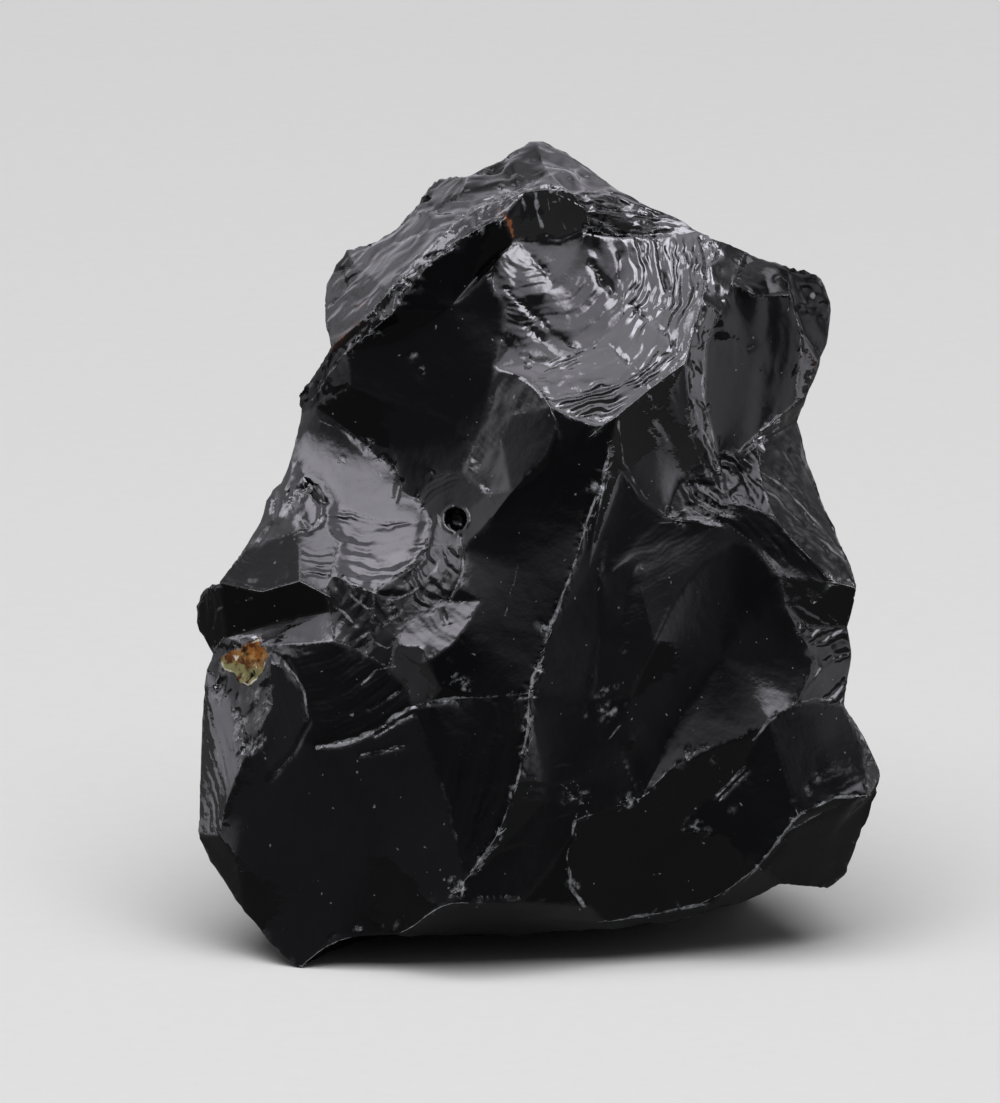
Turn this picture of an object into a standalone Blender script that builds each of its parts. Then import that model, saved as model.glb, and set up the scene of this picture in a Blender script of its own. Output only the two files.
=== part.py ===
# Andara crystal: one fractured lump of black volcanic glass, built as a cage of ridges.
# Every facet of the cage is a fracture scar with a lean of its own. The ridge points are laid out
# as seen square on to the worn front, across and up, in millimetres. How far each one lies back
# follows from the leans of the scars that meet there.

import math

import bmesh
import bpy
import numpy as np
from mathutils import Vector

MM = 0.001
LEAN = math.radians(13.0)        # the front leans back by this much from upright
HOLD_FLAT = 2.0                  # how firmly a scar stays flat when the ridge depths are settled
HOLD_ACROSS = 0.35               # how firmly it keeps its lean to the side
HOLD_UP = 1.0                    # how firmly it keeps its lean upward
SMALLEST_HOLD = 0.5
LARGEST_HOLD = 1.5
FIRM_SCAR = 2.0                  # mm, a scar of this mean reach has a hold of 1
HOLD_LEVEL = 0.2
LEVELS = {"top0": 11.0, "left6": 7.5, "lobe2": 7.0}    # mm back, sets where the front lies
SOFT_EDGE = math.radians(6.0)    # a ridge blunter than this is left to blend away
SHARP_RIDGE = math.radians(22.0)
ROUNDING = 2                     # subdivision levels over the cage
GLASS_COLOUR = (0.012, 0.012, 0.014, 1.0)
GLASS_ROUGHNESS = 0.12

# Outline of the stone, clockwise from the peak: across and up in mm.
OUTLINE = {
    "top0": (-0.15, 41.45), "top1": (1.1, 40.95), "top2": (4.0, 38.8), "top3": (7.05, 37.35),
    "top4": (7.85, 36.85), "top5": (8.7, 36.5), "top6": (10.25, 35.8), "top7": (12.5, 35.1),
    "knob1": (13.9, 34.85), "knob2": (14.65, 33.4), "knob3": (14.4, 31.15), "knob4": (14.0, 30.15),
    "right1": (13.4, 28.5), "right2": (12.85, 27.35), "right3": (13.3, 25.55), "right4": (14.1, 23.25),
    "right5": (15.3, 20.65), "right6": (15.85, 19.0), "right7": (15.35, 17.0), "right8": (15.6, 15.75),
    "right9": (15.15, 13.1), "lobe1": (16.25, 11.65), "lobe2": (17.05, 9.65), "lobe3": (16.1, 6.9),
    "lobe4": (15.25, 4.5), "lobe5": (14.5, 4.05), "lobe6": (11.9, 4.2),
    "foot1": (10.0, 3.15), "foot2": (6.2, 2.4), "foot3": (3.2, 2.0), "foot4": (0.0, 1.75),
    "foot5": (-5.5, 1.6), "foot6": (-7.15, 1.75), "foot7": (-10.25, 1.75), "tip": (-11.95, 0.05),
    "left1": (-13.05, 0.9), "left2": (-15.0, 3.1), "left3": (-16.7, 5.65), "left4": (-17.05, 6.65),
    "left5": (-17.0, 10.15), "left6": (-16.7, 14.8), "left7": (-16.4, 15.65),
    "nub1": (-17.05, 16.8), "nub2": (-17.25, 18.1), "nub3": (-16.7, 19.1), "nub4": (-16.05, 19.25),
    "left8": (-14.85, 20.85), "left9": (-13.9, 22.4), "left10": (-13.6, 23.75),
    "left11": (-12.75, 24.35), "left12": (-12.35, 25.55), "left13": (-12.0, 27.65),
    "left14": (-12.1, 28.75), "left15": (-11.3, 29.65), "left16": (-10.45, 31.05),
    "left17": (-10.75, 32.4), "left18": (-10.75, 34.4), "left19": (-9.75, 36.05),
    "left20": (-8.4, 36.25), "left21": (-7.15, 36.95), "left22": (-6.3, 38.0), "left23": (-5.6, 39.15),
    "left24": (-5.0, 39.6), "left25": (-3.7, 39.7), "left26": (-2.65, 40.1), "left27": (-1.95, 40.4),
    "left28": (-1.15, 41.15),
}

# Ridge points inside the outline of the front.
RIDGES = {
    # the worn crest and the brow below it, with the shoulders above
    "crest1": (-8.6, 32.6), "crest2": (-7.5, 33.85), "crest3": (-6.25, 35.3), "crest4": (-5.0, 36.5),
    "crest5": (-3.7, 37.8), "crest6": (-2.0, 38.4), "crest7": (-1.0, 38.75), "crest8": (0.25, 38.95),
    "crest9": (1.6, 38.75),
    "brow1": (-9.75, 30.75), "brow2": (-7.4, 32.7), "brow3": (-6.8, 33.55), "brow4": (-6.0, 34.8),
    "brow5": (-4.25, 36.25), "brow6": (-2.6, 37.3), "brow7": (-1.85, 37.3),
    "shoulder1": (-9.4, 35.25), "shoulder2": (-6.0, 37.75), "shoulder3": (-4.05, 38.6),
    "shoulder4": (-2.0, 38.95), "shoulder5": (0.35, 39.5),
    # the ledge over the shell-shaped scar, and the thin plates on it
    "ledge1": (-1.3, 36.25), "ledge2": (1.0, 36.35), "ledge3": (2.4, 37.0), "ledge4": (3.6, 36.85),
    "ledge5": (6.0, 36.5), "plate1": (2.3, 37.75), "plate2": (5.0, 37.7),
    # the shell-shaped scar and the two ripples round its point of impact
    "shell1": (-2.0, 35.5), "shell2": (-2.6, 34.8), "shell3": (-2.5, 33.9), "shell4": (-1.75, 33.25),
    "shell5": (-1.95, 31.4), "shell6": (-2.25, 30.0), "shell7": (-0.5, 29.5), "shell8": (0.5, 28.0),
    "shell9": (1.6, 27.45), "shell10": (2.95, 26.95), "shell11": (3.8, 27.55), "shell12": (5.5, 29.0),
    "shell13": (7.2, 30.2), "shell14": (8.1, 33.4),
    "inner1": (4.25, 34.9), "inner2": (4.1, 32.65), "inner3": (2.6, 30.9), "inner4": (0.25, 30.3),
    "outer1": (6.4, 33.9), "outer2": (5.85, 31.4), "outer3": (3.9, 29.2),
    # the strips below it, and the notched foot of the big hollow
    "strip1": (-3.0, 26.9), "strip2": (-3.9, 24.8), "strip3": (-2.6, 23.65), "strip6": (-1.9, 26.4),
    "tri0": (-1.4, 27.6), "tri2": (0.8, 27.0), "tri3": (0.25, 25.55), "tri4": (-1.45, 23.85),
    "grit1": (-9.4, 29.1),
    "saw1": (-11.2, 28.05), "saw2": (-10.0, 27.15), "saw3": (-8.8, 26.25), "saw4": (-8.0, 25.45),
    "saw5": (-7.15, 25.1), "saw6": (-6.95, 23.55), "saw7": (-5.95, 23.45), "saw8": (-5.5, 24.8),
    # the walls of the upper right, and the flakes at their foot
    "wall1": (9.6, 34.3), "wall2": (9.0, 32.7), "wall3": (12.5, 33.65), "wall4": (10.6, 33.55),
    "wall5": (13.15, 31.65), "wall7": (12.85, 28.3), "wall9": (9.9, 25.8), "wall10": (8.85, 25.75),
    "wall11": (8.2, 28.4), "wall12": (8.3, 31.15), "flute1": (7.5, 26.9),
    "flake1": (6.8, 24.4), "flake2": (8.0, 25.2), "flake3": (9.1, 24.6), "flake4": (9.9, 23.25),
    "flake5": (8.6, 22.4), "cove1": (6.1, 22.5), "cove2": (5.0, 23.4), "cove3": (4.05, 24.9),
    # the chipped spine down the middle
    "spine0": (3.5, 26.1), "spine1": (3.1, 24.4), "spine2": (2.25, 22.0), "spine3": (1.4, 19.35),
    "spine4": (0.3, 16.55), "spine5": (-0.55, 13.8), "spine6": (-0.65, 12.1), "spine7": (-1.1, 9.3),
    "spine8": (-2.0, 7.0), "spine9": (-2.8, 5.6), "spine10": (-3.8, 4.4), "spine11": (-3.9, 3.35),
    # right of the middle
    "mid1": (10.85, 26.1), "mid2": (11.05, 24.3), "mid3": (11.65, 22.6), "mid4": (13.1, 20.75),
    "pit1": (14.8, 19.25), "pit3": (11.85, 19.5), "pit4": (13.3, 17.1), "pit5": (12.15, 18.25),
    "scoop0": (9.25, 22.2), "scoop1": (10.75, 21.1), "scoop6": (10.6, 11.5), "scoop7": (8.0, 10.8),
    "scoop8": (6.4, 10.0), "scoop10": (4.5, 13.55), "scoop11": (5.75, 16.25), "scoop12": (7.0, 19.0),
    "scoop13": (8.15, 20.35), "scoop14": (9.65, 21.25), "slat1": (12.9, 16.7), "slat2": (13.85, 15.5),
    "flank1": (3.75, 22.4), "flank2": (3.0, 19.4), "flank3": (3.0, 16.4), "flank4": (2.5, 13.4),
    "band1": (5.0, 21.05), "band2": (7.5, 21.55), "band3": (5.1, 18.4),
    # lower right: the lobe, the heel and the keel between the scars
    "arc0": (11.4, 12.5), "arc1": (12.75, 13.2), "arc2": (13.9, 13.3), "arc4": (16.1, 11.15),
    "corner0": (16.4, 8.65), "corner1": (14.75, 8.55), "corner2": (12.85, 7.65),
    "heel1": (10.85, 5.1), "heel2": (8.6, 3.3), "heel3": (6.2, 2.8), "heel4": (3.2, 2.35),
    "keel5": (2.5, 3.15), "keel6": (1.55, 4.15), "keel7": (1.45, 5.65), "keel8": (1.9, 7.5),
    "keelA": (0.65, 5.1), "keelB": (-0.9, 3.35), "bowl1": (5.0, 8.55), "plain1": (4.1, 11.3),
    # lower left: the big flat scar, the striped bank beside it and the vault above it
    "sill1": (-4.9, 3.35), "sill2": (-6.4, 2.1), "toe2": (-14.7, 5.25), "toe3": (-16.05, 6.6),
    "bank1": (-15.6, 8.55), "bank2": (-14.85, 10.4), "bank3": (-14.1, 11.15), "crumb1": (-13.8, 12.4),
    "crescent1": (-12.6, 15.05), "crescent2": (-11.8, 13.8), "crescent3": (-11.55, 12.3),
    "crescent4": (-11.9, 11.25), "crescent5": (-13.3, 9.75),
    "ridge1": (-11.1, 11.1), "ridge2": (-9.05, 11.6), "ridge3": (-6.4, 13.0), "ridge4": (-5.4, 13.4),
    "ridge5": (-3.6, 13.55), "slab1": (-5.0, 9.4), "slab2": (-4.25, 6.5),
    "vault1": (-10.3, 16.35), "vault2": (-8.9, 15.8), "vault3": (-7.6, 15.0), "vault4": (-6.5, 13.8),
    "kite1": (-6.9, 17.2), "kite2": (-5.0, 18.25), "kite3": (-2.95, 18.4), "kite4": (-4.2, 16.15),
    "kite5": (-7.1, 16.1), "kite6": (-5.8, 16.1), "kite7": (-5.6, 15.3), "kite8": (-4.9, 14.0),
    # the rippled pan on the left, with the gas bubble at its right
    "vein1": (-3.95, 19.0), "vein2": (-3.8, 21.1), "vesA": (-2.65, 22.15),
    "ves1": (-4.2, 23.05), "ves2": (-3.65, 22.75), "ves3": (-3.65, 22.1), "ves4": (-4.2, 21.8),
    "ves5": (-4.75, 22.1), "ves6": (-4.75, 22.75),
    "pan7": (-5.45, 22.45), "pan8": (-5.65, 21.15), "pan9": (-6.4, 19.95), "pan10": (-8.25, 18.9),
    "pan11": (-9.65, 19.15), "pan12": (-10.3, 20.1), "pan13": (-10.1, 21.15), "pan14": (-10.7, 23.35),
    "pan15": (-11.95, 25.0), "panA": (-7.9, 22.4), "panB": (-8.1, 20.6),
    "node1": (-12.15, 23.8), "node2": (-10.8, 22.2), "node3": (-12.05, 21.9), "node4": (-12.0, 19.35),
    "node5": (-10.75, 18.7), "jag1": (-8.4, 17.3),
    # the bar, the pale sill and the seat of the ochre patch
    "bar1": (-13.9, 18.8), "bar3": (-10.5, 17.8), "bar4": (-12.5, 17.4), "bar5": (-15.7, 16.5),
    "ochre1": (-14.85, 16.2), "ochre2": (-13.85, 16.2), "ochre3": (-13.4, 15.4),
    "ochre4": (-15.5, 13.55), "ochre5": (-13.7, 13.9),
}

# Scars of the front: lean across and lean up (mm further back for each mm to the right or upward),
# hollow (mm that the middle is sunk), and the ridge points round it.
FRONT = {
    "peakLeft": (-0.6, 2.0, 0, "left25 left26 left27 left28 top0 shoulder5 shoulder4 shoulder3"),
    "peakRight": (0.5, 2.0, 0, "top0 top1 top2 crest9 shoulder5"),
    "browStrip": (-0.3, 1.3, 0, "shoulder3 shoulder4 shoulder5 crest9 crest8 crest7 crest6 crest5 shoulder2"),
    "slopeTop": (-1.0, 2.2, 0, "left22 left23 left24 left25 shoulder3 shoulder2"),
    "slopeLong": (-1.3, 1.6, 0, "left19 left20 left21 left22 shoulder2 crest5 crest4 crest3 crest2 shoulder1"),
    "slopeLow": (-1.9, 1.0, 0, "left18 shoulder1 crest2 crest1 left16 left17"),
    "slopeNick": (-1.4, 0.8, 0, "left18 left19 shoulder1"),
    "rust": (-0.8, 0.0, 0, "left16 crest1 brow2 brow1"),
    "chipBand": (-0.5, 0.6, 0, "crest1 crest2 crest3 crest4 crest5 crest6 crest7 "
                               "brow7 brow6 brow5 brow4 brow3 brow2"),
    "grit": (-1.2, 0.3, 0, "left13 left14 left15 left16 brow1 grit1 saw1"),
    "pocket": (0.1, -0.7, 0.5, "crest7 crest8 crest9 plate1 ledge3 ledge2 ledge1 brow7"),
    "plateUpper": (0.3, 1.6, 0, "crest9 top2 top3 plate2 plate1"),
    "plateLower": (0.4, 0.6, 0, "plate1 plate2 top3 top4 ledge5 ledge4 ledge3"),
    "hollowTop": (-0.2, -0.2, 0.3, "brow1 brow2 brow3 brow4 brow5 brow6 brow7 ledge1 shell1 shell2 "
                                   "shell3 shell4 shell5 shell6 strip1 grit1"),
    "hollowFoot": (-0.25, -0.05, 0, "grit1 strip1 strip2 saw8 saw7 saw6 saw5 saw4 saw3 saw2 saw1"),
    "shellInner": (0.6, 0.4, 0.3, "shell1 ledge1 ledge2 ledge3 ledge4 inner1 inner2 inner3 inner4 "
                                  "shell6 shell5 shell4 shell3 shell2"),
    "shellMiddle": (0.35, 0.55, 0, "ledge4 ledge5 outer1 outer2 outer3 shell9 shell8 shell7 shell6 "
                                   "inner4 inner3 inner2 inner1"),
    "shellOuter": (0.1, 0.6, 0, "ledge5 top4 top5 shell14 shell13 shell12 shell11 shell10 shell9 "
                                "outer3 outer2 outer1"),
    "spall": (0.8, 0.9, 0, "top5 top6 wall1 wall2 shell14"),
    "mottle": (0.5, 1.2, 0, "top6 top7 wall3 wall4 wall1"),
    "knob": (1.1, 0.4, 0, "top7 knob1 knob2 knob3 knob4 wall5 wall3"),
    "window": (0.45, 0.1, 0.5, "wall3 wall5 wall7 wall9 wall10 wall11 wall12 wall2 wall1 wall4"),
    "edge": (1.4, -0.2, 0, "wall5 knob4 right1 wall7"),
    "strips": (0.8, -0.9, 0, "wall7 right1 right2 mid1 wall9"),
    "fluting": (0.9, 0.1, 0, "shell14 wall2 wall12 wall11 wall10 flake3 flake2 flute1 shell13"),
    "cove": (0.25, -0.25, 0.3, "shell11 shell12 shell13 flute1 flake2 flake1 cove1 cove2 cove3 spine0"),
    "flakes": (0.5, 0.5, 0, "flake1 flake2 flake3 flake4 flake5 cove1"),
    "saddle": (0.7, 0.2, 0, "wall10 wall9 mid1 mid2 mid3 flake4 flake3"),
    "pane": (1.3, 0.9, 0, "mid1 right2 right3 right4 right5 right6 pit1 mid4 mid3 mid2"),
    "ladder": (0.5, 0.1, 0, "flake4 mid3 mid4 pit1 pit3 scoop1 scoop0 flake5"),
    "pit": (0.6, -0.3, 0, "pit1 right6 right7 pit4 pit5 pit3"),
    "slats": (1.4, 0.1, 0, "pit5 pit4 right7 right8 right9 arc2 arc1 slat2 slat1"),
    "scoop": (0.15, 0.1, 0.7, "scoop1 pit3 pit5 slat1 slat2 arc1 arc0 scoop6 scoop7 scoop8 bowl1 plain1 "
                              "scoop10 scoop11 scoop12 scoop13 scoop14"),
    "lobe": (0.3, 0.3, 0, "arc0 arc1 arc2 right9 arc4 corner0 corner1 corner2"),
    "rim": (2.4, 1.0, 0, "right9 lobe1 lobe2 corner0 arc4"),
    "heel": (0.8, -0.8, 0, "corner2 corner1 corner0 lobe2 lobe3 lobe4 lobe5 lobe6 heel1"),
    "bowl": (0.2, -0.15, 0.6, "scoop8 scoop7 scoop6 arc0 corner2 heel1 heel2 heel3 heel4 "
                              "keel5 keel6 keel7 keel8 bowl1"),
    "footBand": (0.3, -1.6, 0, "heel1 lobe6 foot1 foot2 foot3 heel4 heel3 heel2"),
    "flank": (0.45, 0.05, 0, "spine0 cove3 flank1 flank2 flank3 flank4 spine5 spine4 spine3 spine2 spine1"),
    "dull": (0.25, 0.2, 0, "cove3 cove2 cove1 flake5 scoop0 band2 band1 flank2 flank1"),
    "band": (0.45, 0.3, 0, "band1 band2 scoop0 scoop1 scoop14 scoop13 scoop12 scoop11 band3"),
    "diamond": (0.1, -0.05, 0, "flank2 band1 band3 scoop11 scoop10 flank4 flank3"),
    "plain": (0.4, -0.05, 0, "spine5 flank4 scoop10 plain1 bowl1 keel8 keelA keelB spine11 spine10 "
                               "spine9 spine8 spine7 spine6"),
    "shadow": (0.7, -0.4, 0, "keel8 keel7 keel6 keel5 keelB keelA"),
    "belly": (0.0, -1.8, 0, "spine11 keelB keel5 heel4 foot3 foot4 foot5 foot6 sill2 sill1"),
    "slab": (-0.3, 0.0, 0, "ridge1 ridge2 ridge3 slab1 slab2 spine10 spine11 sill1 sill2 foot6 foot7 tip "
                             "left1 left2 toe2 toe3 bank1 bank2 bank3 crescent5 crescent4"),
    "wedge": (-0.6, 0.1, 0, "ridge3 ridge4 ridge5 spine5 spine6 spine7 spine8 spine9 spine10 slab2 slab1"),
    "toe": (-1.2, -0.5, 0, "left2 left3 left4 toe3 toe2"),
    "bank": (-2.0, 0.2, 0, "left4 left5 left6 ochre4 bank2 bank1 toe3"),
    "crumb": (-0.9, 0.2, 0, "ochre4 ochre5 crumb1 bank3 bank2"),
    "crescent": (-0.55, 0.0, 0, "ochre5 ochre3 crescent1 crescent2 crescent3 crescent4 crescent5 "
                                  "bank3 crumb1"),
    "vault": (-0.25, 0.25, 0, "ochre2 vault1 vault2 vault3 vault4 ridge3 ridge2 ridge1 crescent4 "
                                "crescent3 crescent2 crescent1 ochre3"),
    "kite": (-0.7, 0.8, 0, "kite1 kite2 kite3 kite4 kite7 kite6 kite5"),
    "underKite": (-0.5, 0.0, 0, "kite5 kite6 kite7 kite8 ridge4 ridge3 vault4 vault3"),
    "coreTop": (-0.4, -0.1, 0, "shell9 shell10 shell11 spine0 spine1 spine2 vesA tri4 tri3 tri2 shell8"),
    "coreFoot": (-0.45, -0.15, 0, "vesA spine2 spine3 spine4 spine5 ridge5 ridge4 kite8 kite7 kite4 "
                                    "kite3 vein1 vein2"),
    "hackleUp": (-0.5, 0.6, 0, "pan8 vein2 vein1 kite2 kite1 jag1 pan10 pan9"),
    "hackleKnee": (-0.5, 0.1, 0, "vein1 kite3 kite2"),
    "hackleLow": (-0.3, 0.1, 0, "pan11 pan10 jag1 kite1 kite5 vault3 vault2 vault1 bar3 node5 pan12"),
    "panTop": (-0.7, 0.65, 0, "left12 left13 saw1 saw2 saw3 saw4 saw5 saw6 saw7 pan7 panA pan14 pan15"),
    "panMiddle": (-0.55, 0.75, 0, "pan7 pan8 panB pan13 node2 pan14 panA"),
    "panFoot": (-0.5, 0.9, 0, "pan8 pan9 pan10 pan11 pan12 pan13 panB"),
    "blisterUp": (-0.3, 0.1, 0, "saw7 saw8 strip2 strip3 ves2 ves1 ves6 pan7"),
    "blisterLow": (-0.4, 0.3, 0, "pan7 ves6 ves5 ves4 vein2 pan8"),
    "blisterRight": (-0.4, 0.3, 0, "ves4 ves3 ves2 strip3 tri4 vesA vein2"),
    "bubble": (-0.3, 0.2, 0.9, "ves1 ves2 ves3 ves4 ves5 ves6"),
    "strip": (-0.7, 0.3, 0, "shell6 shell7 shell8 tri0 strip6 tri4 strip3 strip2 strip1"),
    "tri": (-0.2, 0.5, 0, "tri0 shell8 tri2 tri3 tri4 strip6"),
    "nodule": (-1.0, 0.5, 0, "pan15 pan14 node2 node3 node1"),
    "rippled": (-0.8, 0.6, 0, "node3 node2 pan13 pan12 node5 node4"),
    "knobs": (-1.3, 0.6, 0, "left8 left9 left10 left11 left12 pan15 node1 node3"),
    "shelf": (-0.8, 0.9, 0, "nub4 left8 node3 node4 bar1"),
    "bar": (-0.4, -0.5, 0, "nub4 bar1 node4 node5 bar3 bar4 bar5"),
    "nub": (-1.2, 0.0, 0, "left7 nub1 nub2 nub3 nub4 bar5"),
    "sill": (-0.4, 1.2, 0, "bar5 bar4 bar3 vault1 ochre2 ochre1"),
    "ochre": (-0.9, 0.2, 0, "left6 left7 bar5 ochre1 ochre2 ochre3 ochre5 ochre4"),
}

# A sunk scar of awkward outline has its lowest point here, not at the mean of its corners.
MIDDLES = {
    "hollowTop": (-5.6, 32.0), "shellInner": (0.9, 33.4), "window": (10.6, 30.2),
    "scoop": (9.1, 16.6), "bowl": (8.4, 7.2),
}

# Points of the rear: across, up and back in mm.
REAR_POINTS = {
    "rear1": (-2.4, 37.8, 15.0), "rear2": (3.0, 36.4, 15.5), "rear3": (7.6, 33.9, 17.0),
    "rear4": (11.5, 32.4, 14.5), "rear5": (-6.6, 35.2, 15.5), "rear6": (-4.6, 32.6, 19.0),
    "rear7": (2.2, 32.2, 21.5), "rear8": (8.4, 28.4, 20.0), "rear9": (11.6, 26.2, 17.0),
    "rear10": (-9.6, 30.4, 16.0), "rear11": (-7.2, 27.6, 20.5), "rear12": (-2.6, 26.4, 24.0),
    "rear13": (7.2, 21.4, 22.5), "rear14": (12.8, 19.4, 17.0), "rear15": (-13.5, 18.6, 14.0),
    "rear16": (-9.4, 19.6, 21.0), "rear17": (-0.6, 17.4, 26.5), "rear18": (6.4, 13.4, 24.5),
    "rear19": (11.6, 12.2, 20.5), "rear20": (14.4, 10.6, 15.5), "rear21": (-14.6, 11.4, 14.0),
    "rear22": (-10.6, 8.8, 20.0), "rear23": (-4.4, 8.4, 25.5), "rear24": (3.4, 8.0, 25.0),
    "rear25": (10.4, 6.9, 20.0),
}

# Corners of the flat underside, on the ground: across, and back from the tip, in mm.
BASE = {
    "base1": (-9.5, 11.5), "base2": (-1.0, 9.5), "base3": (7.5, 12.5), "base4": (10.5, 17.0),
    "base5": (8.0, 20.5), "base6": (0.0, 21.5), "base7": (-8.0, 19.0),
}

# Scars of the rear and the underside: hollow in mm, and the points round it.
REAR = {
    "crownLeft": (0, "left25 left26 left27 rear1"),
    "crownRight": (0, "left27 left28 top0 top1 rear2 rear1"),
    "shoulderBack": (0, "top1 top2 top3 top4 top5 rear3 rear2"),
    "topBack": (0, "top5 top6 top7 rear4 rear3"),
    "knobBack": (0, "top7 knob1 knob2 knob3 knob4 rear4"),
    "neckBack": (0.3, "knob4 right1 right2 rear9 rear4"),
    "paneBack": (0, "right2 right3 right4 right5 rear14 rear9"),
    "pitBack": (0, "right5 right6 right7 right8 rear14"),
    "slatsBack": (0.4, "right8 right9 rear20 rear19 rear14"),
    "lobeBack": (0, "right9 lobe1 lobe2 lobe3 rear20"),
    "crestBack": (0, "left22 left23 left24 left25 rear1 rear5"),
    "slopeBack": (0, "left18 left19 left20 left21 left22 rear5 rear10"),
    "nickBack": (0, "left16 left17 left18 rear10"),
    "gritBack": (0, "left13 left14 left15 left16 rear10"),
    "panBack": (0.8, "left10 left11 left12 left13 rear10 rear11 rear16 rear15"),
    "flankBack": (0, "nub4 left8 left9 left10 rear15"),
    "nubBack": (0, "left7 nub1 nub2 nub3 nub4 rear15"),
    "bankBack": (0, "left5 left6 left7 rear15 rear21"),
    "toeBack": (0, "left3 left4 left5 rear21"),
    "heelLeft": (0, "left2 left3 rear21 rear22 base7 base1"),
    "tipBack": (0, "tip left1 left2 base1"),
    "underLeft": (0, "tip base1 base2 foot5 foot6 foot7"),
    "underMiddle": (0, "foot5 base2 base3 foot2 foot3 foot4"),
    "underRight": (0, "foot2 base3 base4 lobe6 foot1"),
    "heelRight": (0, "lobe3 lobe4 lobe5 lobe6 base4 rear25 rear20"),
    "base": (0, "base1 base2 base3 base4 base5 base6 base7"),
    "footLeft": (0, "base7 rear22 rear23 base6"),
    "footMiddle": (0, "base6 rear23 rear24 base5"),
    "footRight": (0, "base5 rear24 rear25 base4"),
    "waistLeft": (0.5, "rear21 rear15 rear16 rear22"),
    "longScar": (1.1, "rear11 rear12 rear17 rear23 rear22 rear16"),
    "waistBack": (0.7, "rear17 rear18 rear24 rear23"),
    "waistRight": (0.4, "rear18 rear19 rear20 rear25 rear24"),
    "wideScar": (1.2, "rear7 rear8 rear13 rear18 rear17 rear12"),
    "cheekRight": (0.8, "rear8 rear9 rear14 rear19 rear18 rear13"),
    "cheekLeft": (0.5, "rear10 rear5 rear6 rear11"),
    "napeLeft": (0, "rear5 rear1 rear6"),
    "napeMiddle": (0.9, "rear1 rear2 rear7 rear12 rear11 rear6"),
    "napeRight": (0, "rear2 rear3 rear8 rear7"),
    "napeEdge": (0, "rear3 rear4 rear9 rear8"),
}


def clear_scene():
    for obj in list(bpy.data.objects):
        bpy.data.objects.remove(obj, do_unlink=True)


def settle_depths(points, scars):
    """How far back each ridge point lies, so that the scars keep their leans and stay flat."""
    row_of = {name: row for row, name in enumerate(points)}
    count = len(points)
    width = count + 2 * len(scars)
    rows = []
    wanted = []

    def ask(weights, value):
        row = np.zeros(width)
        for column, weight in weights:
            row[column] += weight
        rows.append(row)
        wanted.append(value)

    for number, (across, up, _, names) in enumerate(scars.values()):
        corners = names.split()
        flat = np.array([points[name] for name in corners])
        offsets = flat - flat.mean(axis=0)
        reach = np.hypot(*offsets.T).mean()
        lean_column = count + 2 * number
        firm = HOLD_FLAT / reach
        for name, (right, rise) in zip(corners, offsets):
            shares = [(row_of[other], -firm / len(corners)) for other in corners]
            leans = [(lean_column, -firm * right), (lean_column + 1, -firm * rise)]
            ask([(row_of[name], firm)] + shares + leans, 0.0)
        hold = np.clip(reach / FIRM_SCAR, SMALLEST_HOLD, LARGEST_HOLD) * math.sqrt(len(corners))
        ask([(lean_column, HOLD_ACROSS * hold)], HOLD_ACROSS * hold * across)
        ask([(lean_column + 1, HOLD_UP * hold)], HOLD_UP * hold * up)
    for name, level in LEVELS.items():
        ask([(row_of[name], HOLD_LEVEL)], HOLD_LEVEL * level)
    solved = np.linalg.lstsq(np.array(rows), np.array(wanted), rcond=None)[0]
    return dict(zip(points, solved[:count]))


def lean_back(across, up, back):
    """A point of the leaning front frame, in metres with Z upright."""
    y = up * math.sin(LEAN) + back * math.cos(LEAN)
    z = up * math.cos(LEAN) - back * math.sin(LEAN)
    return Vector((across, y, z)) * MM


def place_points():
    """Every cage point in metres. The flat underside is level with the tip."""
    front = {**OUTLINE, **RIDGES}
    depths = settle_depths(front, FRONT)
    places = {name: lean_back(*point, depths[name]) for name, point in front.items()}
    for name, point in REAR_POINTS.items():
        places[name] = lean_back(*point)
    tip = places["tip"]
    for name, (across, back) in BASE.items():
        places[name] = Vector((across * MM, tip.y + back * MM, tip.z))
    return places


def level_with(face, spot):
    """Where the line of sight through a spot of the front meets the plane of the face."""
    start = lean_back(*spot, 0.0)
    sight = lean_back(0.0, 0.0, 1.0)
    reach = (face.calc_center_median() - start).dot(face.normal)
    return start + sight * (reach / sight.dot(face.normal))


def sink_middle(bm, face, name, hollow):
    """Fans the face from a middle point, pushed into the stone by the hollow."""
    middle = level_with(face, MIDDLES[name]) if name in MIDDLES else face.calc_center_median()
    centre = bm.verts.new(middle - face.normal * hollow * MM)
    ring = list(face.verts)
    bm.faces.remove(face)
    for here, there in zip(ring, ring[1:] + ring[:1]):
        bm.faces.new((here, there, centre))


def fans_cleanly(face):
    """Whether every corner of the face can be seen from its middle."""
    middle = face.calc_center_median()
    ring = [vert.co - middle for vert in face.verts]
    return all(here.cross(there).dot(face.normal) > 0 for here, there in zip(ring, ring[1:] + ring[:1]))


def build_cage(places):
    bm = bmesh.new()
    crease = bm.edges.layers.float.new("crease_edge")
    corner_of = {name: bm.verts.new(place) for name, place in places.items()}
    scars = [(name, hollow, names) for name, (_, _, hollow, names) in FRONT.items()]
    scars += [(name, hollow, names) for name, (hollow, names) in REAR.items()]
    faces = [bm.faces.new([corner_of[corner] for corner in names.split()]) for _, _, names in scars]
    bmesh.ops.recalc_face_normals(bm, faces=bm.faces)
    ridges = set(bm.edges)
    awkward = []
    for face, (name, hollow, _) in zip(faces, scars):
        if hollow:
            sink_middle(bm, face, name, hollow)
        elif not fans_cleanly(face):
            awkward.append(face)
    bmesh.ops.connect_verts_concave(bm, faces=awkward)
    bm.normal_update()
    for edge in ridges:
        if edge.calc_face_angle() > SOFT_EDGE:
            edge[crease] = 1.0
    return bm


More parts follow.
